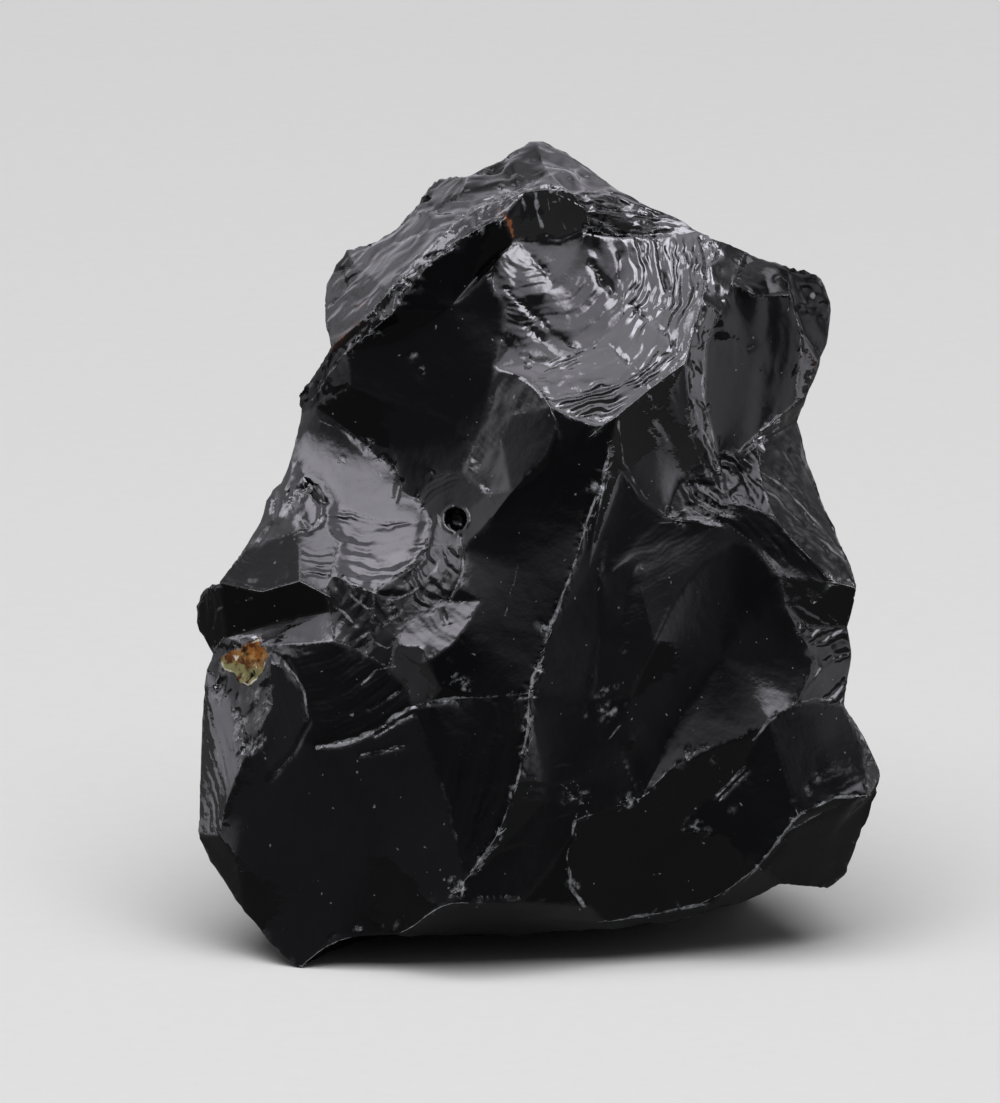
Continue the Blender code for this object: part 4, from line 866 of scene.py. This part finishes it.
# unevenness all over: how high and how wide in mm, and its seed
uneven = {
    "outline": (0.14, 1.1, 5),    # most where the front turns away
    "rear": (0.16, 3.4, 6),       # but not on the underside
    "all": (0.02, 1.7, 3),        # stronger in some parts than in others
}
lumps = {name: high * layered(spots, wide, seed) for name, (high, wide, seed) in uneven.items()}
drop += lumps["outline"] * ease(0.45, 0.1, np.abs(facing))
drop += lumps["rear"] * (ease(0.1, -0.3, facing) * ease(-0.8, -0.5, normals[:, 2]))
drop += lumps["all"] * (0.4 + 0.6 * ease(-0.2, 0.5, grain(spots, 5.0, 4)))

front = ease(0.1, 0.4, facing)
wavering = spots[:, :2] + 0.1 * layered(spots, 0.9, 33)[:, None]
depthShare = 0.6 + 0.4 * grain(spots, 0.8, 34)
for wide, deep, path in grooves:
    drop += deep * (np.exp(-(fromPath(wavering, path) / wide) ** 2) * front) * depthShare
print("grooves cut:", len(grooves))

# the mineral patch: crumbs and grains that grew in a hollow of the shelf
patch = {
    "outline": [(-16.1, 15.6), (-15.3, 16.0), (-14.2, 16.45), (-13.75, 15.7), (-13.75, 14.9),
                (-14.4, 14.1), (-15.2, 14.25), (-16.0, 15.0)],
    "ragged": 0.35,          # mm: how far its outline wanders
    "crumb": 0.34,           # mm: the size of its crumbs
    "relief": 0.5,
    "greenBelow": 14.9,      # mm up: lower than about this it turns olive, ...
    "saltAbove": 15.6,       # ... and higher than about this it is salty
}
front = ease(0.0, 0.3, facing)
wandered = spots[:, :2] + patch["ragged"] * layered(spots, 1.1, 41)[:, None]
ochre = ease(-0.15, 0.35, insideBy(wandered, closed(patch["outline"]))) * front
crumbs = np.abs(layered(spots, patch["crumb"], 43))
drop = drop * (1 - 0.8 * ochre) + patch["relief"] * ochre * crumbs

# where the glass is thin enough to show reddish brown, with a painted copper glint where it is
# strongest: how wide in mm, how much, then the path
rustAndGlintStreaks = [
    (0.16, 0.8, [(-10.4, 31.0), (-9.6, 31.9), (-9.1, 32.3)]),
    (0.06, 0.9, [(-9.3, 32.9), (-8.6, 33.4)]),
    (0.09, 1.0, [(-2.0, 37.9), (-1.7, 37.4)]),
    (0.1, 1.2, [(-1.5, 37.25), (-1.35, 36.6)]),
    (0.06, 0.8, [(13.3, 30.9), (13.8, 30.2)]),
    (0.06, 0.8, [(13.9, 28.9), (13.8, 28.3)]),
    (0.07, 0.8, [(15.5, 20.4), (15.7, 19.9)]),
    (0.06, 0.5, [(-8.9, 35.3), (-8.1, 35.8)]),
]
for wide, share, path in rustAndGlintStreaks:
    near = np.flatnonzero(front > 0)[around(spots[front > 0, :2], path, 1.0)]
    apart = fromPath(spots[near, :2], path) + 0.14 * layered(spots[near], 0.5, 51)
    brown = share * ease(wide * 1.6, wide * 0.5, apart) * front[near]
    rust[near] = np.maximum(rust[near], brown)

points = points - normals * drop[:, None]
clear = np.linalg.norm(spots[:, :2] - bubble["spot"], axis=1) > bubble["radius"] * 1.5


# sinks a long hollow, round across its way, and leaves pale crushed glass in it
def bite(centre, normal, way, long, radius, depth, pale):
    apart = points - (centre + normal * (radius - depth))
    index = np.flatnonzero((np.abs(apart) < radius * min(long, 2.5)).all(axis=1) & clear)
    along = apart[index] @ way
    height = apart[index] @ normal
    aside = (apart[index] ** 2).sum(axis=1) - height ** 2 - along ** 2 * (1 - 1 / long ** 2)
    floor = -np.sqrt(np.clip(radius ** 2 - aside, 0, None))
    within = (aside < radius ** 2) & (height > floor) & (height < 0)
    sink = np.where(within, height - floor, 0)
    # a wall that stands above the bite isn't part of it
    sink = sink * ease(depth * 1.5, depth * 0.3, height + radius - depth)
    sink = np.where(normals[index] @ normal > 0.2, np.minimum(sink, depth), 0)
    points[index] -= normal * sink[:, None]
    bruise[index] = np.maximum(bruise[index], ease(0.01, 0.05, sink) * pale)


chipTilt = 0.34    # how far a chip leans off square


def chip(at, kind, chance):
    normal = normals[at] + np.array([chance.gauss(0, 1) for _ in range(3)]) * chipTilt
    normal = normal / np.linalg.norm(normal)
    size = chance.random() ** 1.6
    radius = kind["ball"][0] + (kind["ball"][1] - kind["ball"][0]) * size
    depth = kind["deep"][0] + (kind["deep"][1] - kind["deep"][0]) * size * chance.random()
    pale = kind["pale"] * chance.choice((0.0, 0.0, 0.4, 1.0))
    angle = kind["way"] + chance.gauss(0, 0.25) if "way" in kind else chance.uniform(0, math.tau)
    way = np.array(fromFront(math.cos(angle), math.sin(angle), 0) - fromFront(0, 0, 0))
    way = way - normal * (way @ normal)
    way = way / max(np.linalg.norm(way), 1e-9)
    long = kind.get("long", 2.2) * chance.uniform(0.7, 1.3)
    bite(points[at], normal, way, long, radius, depth, pale)


# of these points, the one nearest to a spot, and how far off it is, squared
def nearest(spot, among):
    away = ((spots[among, :2] - spot) ** 2).sum(axis=1)
    return among[np.argmin(away)], away.min()


def chipRidge(ridge, chance):
    path = np.array(ridge["path"])
    seen = np.flatnonzero(facing > 0.12)
    for start, end in zip(path, path[1:]):
        length = np.linalg.norm(end - start)
        for _ in range(max(1, round(length / ridge["every"]))):
            spot = start + (end - start) * chance.random()
            spot = spot + np.array([chance.gauss(0, 1), chance.gauss(0, 1)]) * ridge["wander"]
            chip(nearest(spot, seen)[0], ridge, chance)


chance = random.Random(5)
for ridge in worn.values():
    chipRidge(ridge, chance)
print("ridges chipped:", len(worn))

# facets that are chipped all over
usualBreak = {"ball": (0.6, 1.6), "deep": (0.04, 0.12), "pale": 0.4}
broken = {
    "chipBand": {"every": 0.55, "ball": (0.5, 1.4), "pale": 0.6, "long": 3.0, "way": 0.6},
    "browStrip": {"every": 0.8, "ball": (0.5, 1.6), "pale": 0.3, "long": 4.0, "way": -0.15},
    "peakRight": {"every": 1.0, "ball": (0.8, 2.0), "long": 3.0, "way": -0.6},
    "peakLeft": {"every": 0.9, "ball": (0.4, 1.6), "deep": (0.04, 0.14), "pale": 0.7, "long": 3.0,
                 "way": 0.8},
    "plateUpper": {"every": 0.8, "long": 4.0, "way": -0.2},
    "plateLower": {"every": 0.8, "long": 4.0, "way": -0.1},
    "grit": {"every": 0.75, "ball": (0.4, 1.2), "long": 2.5, "way": 0.9},
    "rust": {"every": 0.9, "ball": (0.4, 1.2), "pale": 0.2, "way": 0.9},
    "spall": {"every": 0.9, "pale": 0.3, "long": 3.0, "way": 1.3},
    "mottle": {"every": 0.9, "ball": (0.6, 1.4), "pale": 0.2, "way": 2.3},
    "knob": {"every": 1.1, "pale": 0.1, "long": 2.5, "way": 1.5},
    "knobs": {"every": 0.8, "ball": (0.5, 1.3), "deep": (0.04, 0.16), "way": 0.8},
    "nodule": {"every": 1.2, "ball": (0.5, 1.2), "deep": (0.03, 0.1), "pale": 0.3, "way": 1.4},
    "flakes": {"every": 0.8, "ball": (0.5, 1.4), "deep": (0.04, 0.14), "long": 2.6, "way": 2.6},
    "saddle": {"every": 1.2, "deep": (0.03, 0.1), "pale": 0.1, "long": 3.0, "way": 2.5},
    "strips": {"every": 0.8, "ball": (0.5, 1.2), "deep": (0.03, 0.1), "pale": 0.3, "long": 3.5,
               "way": -0.2},
    "slats": {"every": 1.2, "ball": (0.6, 1.4), "deep": (0.03, 0.1), "pale": 0.2, "long": 4.0,
              "way": 0.7},
    "pit": {"every": 1.2, "ball": (0.6, 1.4), "deep": (0.03, 0.1), "pale": 0.2, "way": 1.2},
    "crumb": {"every": 0.35, "ball": (0.25, 0.7), "deep": (0.06, 0.18), "pale": 0.9, "way": 1.0},
    "ochre": {"every": 0.42, "ball": (0.25, 0.7), "deep": (0.05, 0.15), "pale": 0.9, "way": 1.0},
    "hackleLow": {"every": 1.3, "ball": (0.4, 1.0), "deep": (0.03, 0.12), "pale": 0.5, "long": 4.0,
                  "way": 1.3},
    "hackleUp": {"every": 1.4, "ball": (0.4, 1.2), "deep": (0.03, 0.12), "long": 4.0, "way": 0.5},
}


def chipFacet(name, kind, chance):
    sides = sidesOf(name)
    near = around(spots[:, :2], sides, 0)
    near = near[(insideBy(spots[near, :2], sides) > 0.05) & (facing[near] > 0.05)]
    low, high = spots[near, :2].min(axis=0), spots[near, :2].max(axis=0)
    for _ in range(int((high - low).prod() / kind["every"] ** 2)):
        spot = np.array([chance.uniform(low[0], high[0]), chance.uniform(low[1], high[1])])
        at, away = nearest(spot, near)
        if away < 0.04:
            chip(at, kind, chance)


for name, given in broken.items():
    chipFacet(name, {**usualBreak, **given}, chance)
print("facets chipped:", len(broken))

# clusters of small hackles: where, how wide, how many
hackles = [
    ((1.75, 8.4), 0.7, 10), ((3.1, 13.4), 1.0, 14), ((4.4, 8.2), 0.6, 8), ((7.6, 10.6), 1.0, 10),
    ((-6.45, 30.65), 0.25, 5), ((-5.75, 29.8), 0.15, 2), ((-10.6, 25.05), 0.1, 1),
    ((-10.0, 25.4), 0.1, 1), ((9.5, 7.75), 0.2, 2), ((9.65, 6.65), 0.2, 2), ((8.25, 7.0), 0.2, 2),
    ((7.2, 7.15), 0.15, 2), ((13.75, 9.65), 0.2, 3), ((13.4, 9.05), 0.2, 2),
    ((4.25, 16.15), 0.2, 2), ((15.1, 19.25), 0.2, 3), ((-8.75, 32.95), 0.2, 3),
    ((-7.75, 32.9), 0.2, 3), ((-8.0, 31.75), 0.2, 3), ((2.2, 22.0), 0.3, 4),
    ((-0.5, 13.8), 0.35, 6), ((-2.8, 5.75), 0.3, 5), ((-4.1, 4.25), 0.35, 6),
    ((-10.2, 17.6), 0.5, 5), ((-3.9, 14.4), 0.5, 6),
]
fleck = {"ball": (0.2, 0.45), "deep": (0.03, 0.07), "pale": 1.0, "long": 2.6, "way": 0.6}
seen = np.flatnonzero(facing > 0.1)
for centre, wide, count in hackles:
    for _ in range(count):
        spot = np.array([chance.gauss(at, wide * 0.5) for at in centre])
        chip(nearest(spot, seen)[0], fleck, chance)
print("hackles cut:", len(hackles))

# small bites along every sharp edge, all round the stone
nibbles = {"count": 500, "sharper": 28.0, "ball": (0.25, 0.8), "deep": (0.02, 0.07), "pale": 0.4}
edges, angle, outward = bends(points, faces)
sharpEdges = edges[(angle > nibbles["sharper"]) & outward]
for _ in range(nibbles["count"]):
    chip(sharpEdges[chance.randrange(len(sharpEdges)), 0], nibbles, chance)
print("edges nibbled")

# the gas bubble, a clean round cup with a pale rim
toBubble = np.linalg.norm(spots[:, :2] - bubble["spot"], axis=1)
cup = np.sqrt(np.clip(1 - (toBubble / bubble["radius"]) ** 2, 0, 1))
rim = np.exp(-((toBubble - bubble["radius"] * 1.12) / 0.09) ** 2)
rim = rim * ease(-0.5, 0.4, grain(spots, 0.5, 61))
points -= normals * (bubble["depth"] * cup - 0.05 * rim)[:, None] * (facing > 0)[:, None]
gloss += (0.4 - gloss) * (toBubble < bubble["radius"]) + 0.9 * rim * (facing > 0)

# sharp ridges get a pale line, crushed wear and a painted highlight, most of all where worn
edges, angle, outward = bends(points, faces)
for end in (0, 1):
    np.maximum.at(ridgeWearAndGlint, edges[outward, end], ease(20, 48, angle[outward]))
toWorn = np.full(len(points), 9.0)
for ridge in worn.values():
    toWorn = np.minimum(toWorn, fromPath(spots[:, :2], ridge["path"]))
ridgeWearAndGlint *= 0.45 + 0.55 * ease(0.5, 0.25, toWorn) * (facing > 0)

# each hairline wanders, swells and breaks off along its way
ahead = np.flatnonzero(facing > 0)
wander = np.stack([layered(spots[ahead], 0.9, 71), layered(spots[ahead], 0.9, 72)], axis=1)
wandered = spots[ahead, :2] + 0.13 * wander
width = 0.4 + (1.3 * grain(spots[ahead], 0.8, 73) + 0.5 * grain(spots[ahead], 0.35, 74))
for wide, path in hairlinesAndGlints:
    near = around(wandered, path, 1.0)
    apart = fromPath(wandered[near], path) - wide * width[near]
    hairlineAndGlint[ahead[near]] = np.minimum(hairlineAndGlint[ahead[near]], apart)

low, high = (np.array(corner) / mm for corner in cadBox)
points = np.clip(points, low, high)


def makeStone():
    mesh = bpy.data.meshes.new("stoneSkin")
    mesh.from_pydata(points * mm, [], faces.tolist())
    marks = {"bruise": bruise, "ridgeWearAndGlint": ridgeWearAndGlint, "rust": rust, "ochre": ochre, "gloss": gloss,
             "hairlineAndGlint": hairlineAndGlint, "phase": phase, "swing": swing}
    for name, values in marks.items():
        layer = mesh.attributes.new(name, "FLOAT", "POINT")
        layer.data.foreach_set("value", values.astype(np.float32))
    mesh.shade_smooth()
    mesh.set_sharp_from_angle(angle=math.radians(stone["smoothBelow"]))
    mesh.update()
    made = bpy.data.objects.new("crystalStone", mesh)
    bpy.context.scene.collection.objects.link(made)
    return made


crystal = makeStone()
print("stone made:", len(faces), "triangles")

glassLook = {
    # colours
    "body": (0.0022, 0.0023, 0.0027),
    # pale crushed glass, also used for painted highlights on sharp ridges and inside the bubble
    "crushedAndGlint": (0.42, 0.43, 0.46),
    "rust": (0.02, 0.007, 0.004),
    # a painted copper glint on the strongest rust
    "rustGlint": (0.24, 0.07, 0.016),
    "ochre": (0.24, 0.09, 0.02),
    "ochrePale": (0.36, 0.2, 0.07),
    "ochreGreen": (0.22, 0.21, 0.1),
    "ochreDark": (0.06, 0.018, 0.008),
    "salt": (0.62, 0.58, 0.5),
    # polish
    "polish": 0.07,
    "frosted": 0.2,
    "ior": 1.5,
    "level": 0.15,
    "coatIor": 1.7,
    "coat": 0.53,           # how fast the coat grows with a facet's gloss ...
    "dullest": 0.2,         # ... above this
    # how fine each pattern is, in waves to the metre
    "cloudScale": 260.0,
    "patchScale": 420.0,
    "strayScale": 650.0,
    "peelScale": 1400.0,
    "grainScale": 1500.0,
    "speckScale": 2600.0,
    "dustScale": 4600.0,
    "gritScale": 5200.0,
    # relief in mm
    "peel": 0.022,
    "grit": 0.05,
    "crumb": 0.12,
}


class Nodes:
    def __init__(self, tree):
        self.tree = tree
        tree.nodes.clear()

    def add(self, kind, settings=None, **inputs):
        node = self.tree.nodes.new(kind)
        for name, value in (settings or {}).items():
            setattr(node, name, value)
        for name, value in inputs.items():
            self.plug(node.inputs[int(name[1:])], value)
        return node

    def plug(self, socket, value):
        if isinstance(value, bpy.types.NodeSocket):
            self.tree.links.new(value, socket)
        elif isinstance(value, tuple) and len(value) == 3 and socket.type == "RGBA":
            socket.default_value = (*value, 1.0)
        else:
            socket.default_value = value

    def fill(self, kind, **values):
        node = self.tree.nodes.new(kind)
        for name, value in values.items():
            self.plug(node.inputs[name.replace("_", " ")], value)
        return node

    def place(self, which="Object"):
        return self.add("ShaderNodeTexCoord").outputs[which]

    def mark(self, name):
        return self.add("ShaderNodeAttribute", {"attribute_name": name}).outputs["Fac"]

    def maths(self, what, one, two=0.0):
        return self.add("ShaderNodeMath", {"operation": what}, i0=one, i1=two).outputs[0]

    def noise(self, where, scale, detail=3.0, rough=0.55, twist=0.0):
        node = self.fill("ShaderNodeTexNoise", Vector=where, Scale=scale, Detail=detail,
                         Roughness=rough, Distortion=twist)
        return node.outputs["Fac"]

    def between(self, value, low, high, lowOut=0.0, highOut=1.0):
        node = self.add("ShaderNodeMapRange", {"interpolation_type": "SMOOTHSTEP"},
                        i0=value, i1=low, i2=high, i3=lowOut, i4=highOut)
        return node.outputs[0]

    def blend(self, share, one, two):
        node = self.add("ShaderNodeMix", {"data_type": "RGBA"}, i0=share, i6=one, i7=two)
        return node.outputs[2]


# pale specks in chips, ridges and hairlines, painted highlights on ridges and in the bubble, dust
def crushedAndGlintMask(n, place, speck):
    chips = n.maths("MULTIPLY", n.mark("bruise"), n.between(speck, 0.45, 0.6))
    # painted highlight: a pale line on every sharp ridge, on top of the crushed wear
    ridge = n.between(n.maths("ADD", n.mark("ridgeWearAndGlint"), speck), 1.15, 1.45)
    ragged = n.maths("MULTIPLY", n.noise(place, glassLook["grainScale"]), 0.16)
    # the hairlines, with the painted highlight inside the bubble among them
    hair = n.between(n.maths("ADD", n.mark("hairlineAndGlint"), ragged), 0.12, 0.05)
    hair = n.maths("MULTIPLY", hair, n.between(speck, 0.38, 0.58, 0.25, 1.0))
    dust = n.between(n.noise(place, glassLook["dustScale"], 0.0), 0.83, 0.88)
    crushedAndGlint = n.maths("MAXIMUM", chips, n.maths("MAXIMUM", ridge, hair))
    return n.maths("MAXIMUM", crushedAndGlint, n.maths("MULTIPLY", dust, 0.5))


# how fine each pattern in the crust is, in waves to the metre
crust = {"drift": 900.0, "pale": 1100.0, "rim": 1300.0, "gaps": 1600.0, "olive": 1700.0,
         "salt": 1900.0}


# the crust: brown and orange crumbs, olive below, with a salty rim and dark gaps
def mineralColour(n, place, ochreMark, grains):
    colour = n.blend(n.between(grains, 0.44, 0.54), glassLook["ochreDark"], glassLook["ochre"])
    paler = n.between(n.noise(place, crust["pale"]), 0.52, 0.64)
    colour = n.blend(paler, colour, glassLook["ochrePale"])
    split = n.add("ShaderNodeSeparateXYZ", i0=place)
    lower = n.maths("ADD", n.maths("MULTIPLY", split.outputs["Z"], -1 / mm),
                    n.maths("MULTIPLY", n.noise(place, crust["drift"], 2.0), 2.0))
    olive = n.blend(n.between(n.noise(place, crust["olive"]), 0.4, 0.55), glassLook["ochreDark"],
                    glassLook["ochreGreen"])
    green = n.between(lower, 1.0 - patch["greenBelow"], 2.0 - patch["greenBelow"])
    colour = n.blend(green, colour, olive)
    rim = n.between(n.maths("ABSOLUTE", n.maths("SUBTRACT", ochreMark, 0.45)), 0.3, 0.1)
    salt = n.maths("MULTIPLY", rim, n.between(n.noise(place, crust["rim"]), 0.5, 0.64))
    salt = n.maths("MAXIMUM", salt, n.between(n.noise(place, crust["salt"]), 0.62, 0.7))
    colour = n.blend(salt, colour, glassLook["salt"])
    top = n.between(lower, -patch["saltAbove"], -patch["saltAbove"] - 0.4)
    colour = n.blend(top, colour, glassLook["salt"])
    gaps = n.between(n.noise(place, crust["gaps"], 2.0, 0.5, 0.4), 0.39, 0.27)
    return n.blend(gaps, colour, glassLook["body"])


# relief in mm: fine swells that follow each scar's ripples, a slight orange peel and crushed specks
def glassRelief(n, place, grains, ochreShare):
    stray = n.maths("MULTIPLY", n.noise(place, glassLook["strayScale"], 2.0), 1.6)
    swell = n.maths("SINE", n.maths("MULTIPLY", n.maths("ADD", n.mark("phase"), stray), math.tau))
    patches = n.between(n.noise(place, glassLook["patchScale"], 1.0), 0.3, 0.6, 0.3, 1.3)
    swell = n.maths("MULTIPLY", n.maths("MULTIPLY", swell, patches), n.mark("swing"))
    peel = n.noise(place, glassLook["peelScale"], 3.0, 0.5)
    peel = n.maths("MULTIPLY", peel, glassLook["peel"])
    grit = n.maths("MULTIPLY", n.noise(place, glassLook["gritScale"], 2.0, 0.6), n.mark("bruise"))
    grit = n.maths("MULTIPLY", grit, glassLook["grit"])
    crumb = n.maths("MULTIPLY", n.maths("MULTIPLY", grains, ochreShare), glassLook["crumb"])
    return n.maths("ADD", n.maths("ADD", swell, peel), n.maths("ADD", grit, crumb))


def volcanicGlass():
    material = bpy.data.materials.new("volcanicGlass")
    material.use_nodes = True
    n = Nodes(material.node_tree)
    place = n.place()
    rustAndGlintMark, ochreMark = n.mark("rust"), n.mark("ochre")
    speck = n.noise(place, glassLook["speckScale"], 4.0, 0.65)
    cloud = n.noise(place, glassLook["cloudScale"], 4.0, 0.55, 0.6)
    grains = n.noise(place, glassLook["grainScale"], 3.0, 0.6)
    crushedAndGlint = crushedAndGlintMask(n, place, speck)
    colour = n.blend(n.maths("MULTIPLY", crushedAndGlint, 0.55), glassLook["body"], glassLook["crushedAndGlint"])
    # painted glint: bright copper specks where the rust is strongest
    glintShare = n.between(n.maths("ADD", rustAndGlintMark, speck), 1.3, 1.6)
    rustWithGlint = n.blend(glintShare, glassLook["rust"], glassLook["rustGlint"])
    colour = n.blend(rustAndGlintMark, colour, rustWithGlint)
    ochreShare = n.maths("ADD", ochreMark, n.maths("MULTIPLY", grains, 0.4))
    ochreShare = n.between(ochreShare, 0.5, 0.75)
    colour = n.blend(ochreShare, colour, mineralColour(n, place, ochreMark, grains))
    # mirror bright with smoky, slightly frosted clouds
    rough = n.between(cloud, 0.35, 0.75, glassLook["polish"], glassLook["frosted"])
    rough = n.maths("ADD", rough, n.maths("MULTIPLY", crushedAndGlint, 0.3))
    rough = n.maths("MAXIMUM", rough, n.maths("MULTIPLY", rustAndGlintMark, 0.3))
    rough = n.maths("MAXIMUM", rough, n.maths("MULTIPLY", ochreShare, 0.85))
    # fresh scars mirror more than hazy ones
    coat = n.maths("SUBTRACT", n.mark("gloss"), glassLook["dullest"])
    coat = n.maths("MULTIPLY", coat, glassLook["coat"])
    coat = n.maths("MULTIPLY", coat, n.between(cloud, 0.2, 0.8, 0.8, 1.2))
    coat = n.maths("MULTIPLY", coat, n.maths("SUBTRACT", 1.0, ochreShare))
    relief = glassRelief(n, place, grains, ochreShare)
    bump = n.fill("ShaderNodeBump", Strength=1.0, Distance=mm, Height=relief).outputs["Normal"]
    glass = n.fill("ShaderNodeBsdfPrincipled", Base_Color=colour, Roughness=rough,
                   IOR=glassLook["ior"], Specular_IOR_Level=glassLook["level"],
                   Coat_Weight=coat, Coat_Roughness=glassLook["polish"],
                   Coat_IOR=glassLook["coatIor"], Normal=bump, Coat_Normal=bump)
    n.fill("ShaderNodeOutputMaterial", Surface=glass.outputs[0])
    return material


crystal.data.materials.append(volcanicGlass())
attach(crystal, "root")
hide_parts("crystal")
print("glass made")

studio = {
    "floor": 3.0,
    "floorTone": (0.76, 0.76, 0.76),
    "floorInGlass": 0.22,      # how much of the floor the glass shows
    "weave": 0.96,             # the darker tone in the floor's fine weave
    "weaveScale": 900.0,       # waves to the metre
    "sky": 0.7,
    "skyTone": (0.82, 0.82, 0.82),
    "ambient": 0.15,
    "dim": 0.12,
    "glint": (0.8, 0.78, 0.855),     # the colour of what the glass mirrors
    # from, to (the cosine off its aim), strength and aim of each part of the dome
    "dome": [
        (0.55, 1.0, 2.4, (0.0, -0.25, 0.97)),
        (0.92, 1.0, 10.0, (0.5, -0.3, 0.81)),
        (0.94, 1.0, 7.0, (-0.5, -0.3, 0.81)),
        (0.8, 1.0, 1.3, (0.97, -0.1, 0.12)),
        (0.5, 1.0, 0.3, (0.97, -0.25, 0.0)),
        (0.78, 0.98, 1.2, (-0.93, 0.1, 0.32)),
        (0.5, 0.95, 0.2, (-0.9, -0.3, 0.3)),
        (0.45, 0.95, 1.2, (0.0, 0.85, 0.5)),
    ],
    "softbox": {"place": (0.0, -0.28, 1.05), "aim": (0, 0, 0.02), "side": 1.25, "watts": 15.0},
    "centre": (-2.0, 20.825, 8.0),
    "distance": 1200.0,
    "width": 50.0,             # mm across the picture
}


def makeFloor():
    half = studio["floor"] / 2
    mesh = bpy.data.meshes.new("floor")
    mesh.from_pydata([(-half, -half, 0), (half, -half, 0), (half, half, 0), (-half, half, 0)], [],
                     [(0, 1, 2, 3)])
    made = bpy.data.objects.new("floor", mesh)
    bpy.context.scene.collection.objects.link(made)
    material = bpy.data.materials.new("paleFloor")
    material.use_nodes = True
    n = Nodes(material.node_tree)
    plain = studio["floorTone"]
    darker = tuple(v * studio["weave"] for v in plain)
    mirrored = tuple(v * studio["floorInGlass"] for v in plain)
    tone = n.blend(n.noise(n.place(), studio["weaveScale"]), darker, plain)
    path = n.add("ShaderNodeLightPath")
    tone = n.blend(path.outputs["Is Glossy Ray"], tone, mirrored)
    matt = n.fill("ShaderNodeBsdfDiffuse", Color=tone)
    n.fill("ShaderNodeOutputMaterial", Surface=matt.outputs[0])
    mesh.materials.append(material)
    return made


def makeRoom():
    world = bpy.data.worlds.new("room")
    bpy.context.scene.world = world
    world.use_nodes = True
    n = Nodes(world.node_tree)
    way = n.place("Generated")
    # the glass mirrors a soft dome: bright overhead, dim behind, dark on the viewer's side
    glow = studio["dim"]
    for low, high, strength, aimed in studio["dome"]:
        toward = n.add("ShaderNodeVectorMath", {"operation": "DOT_PRODUCT"},
                       i0=way, i1=Vector(aimed).normalized())
        glow = n.maths("ADD", glow, n.between(toward.outputs["Value"], low, high, 0.0, strength))
    path = n.add("ShaderNodeLightPath")
    seen, mirrored = path.outputs["Is Camera Ray"], path.outputs["Is Glossy Ray"]
    plain = n.maths("MULTIPLY", seen, studio["sky"])
    glossy = n.maths("MULTIPLY", mirrored, glow)
    other = n.maths("SUBTRACT", 1.0, n.maths("MAXIMUM", seen, mirrored))
    other = n.maths("MULTIPLY", other, studio["ambient"])
    tone = n.blend(mirrored, studio["skyTone"], studio["glint"])
    strength = n.maths("ADD", n.maths("ADD", plain, glossy), other)
    shade = n.fill("ShaderNodeBackground", Color=tone, Strength=strength)
    n.fill("ShaderNodeOutputWorld", Surface=shade.outputs[0])


def aim(thing, place, target):
    thing.location = place
    thing.rotation_euler = (Vector(target) - Vector(place)).to_track_quat("-Z", "Y").to_euler()
    bpy.context.scene.collection.objects.link(thing)


def makeSoftbox():
    box = studio["softbox"]
    light = bpy.data.lights.new("softbox", "AREA")
    light.shape = "SQUARE"
    light.size = box["side"]
    light.energy = box["watts"]
    made = bpy.data.objects.new("softbox", light)
    made.visible_glossy = False    # the dome stands for it in the glass, with soft edges
    aim(made, box["place"], box["aim"])


def makeCamera():
    camera = bpy.data.cameras.new("camera")
    camera.sensor_fit = "HORIZONTAL"
    camera.sensor_width = 36.0
    camera.lens = camera.sensor_width * studio["distance"] / studio["width"]
    camera.clip_start = 0.1
    camera.clip_end = 20.0
    across, up, back = studio["centre"]
    made = bpy.data.objects.new("camera", camera)
    eye = fromFront(across, up, back - studio["distance"]) * mm
    aim(made, eye, fromFront(across, up, back) * mm)
    bpy.context.scene.camera = made


floor = makeFloor()
makeRoom()
makeSoftbox()
makeCamera()
bpy.context.scene.view_settings.view_transform = "Standard"
print("floor, light and camera in place")

bpy.context.view_layer.update()
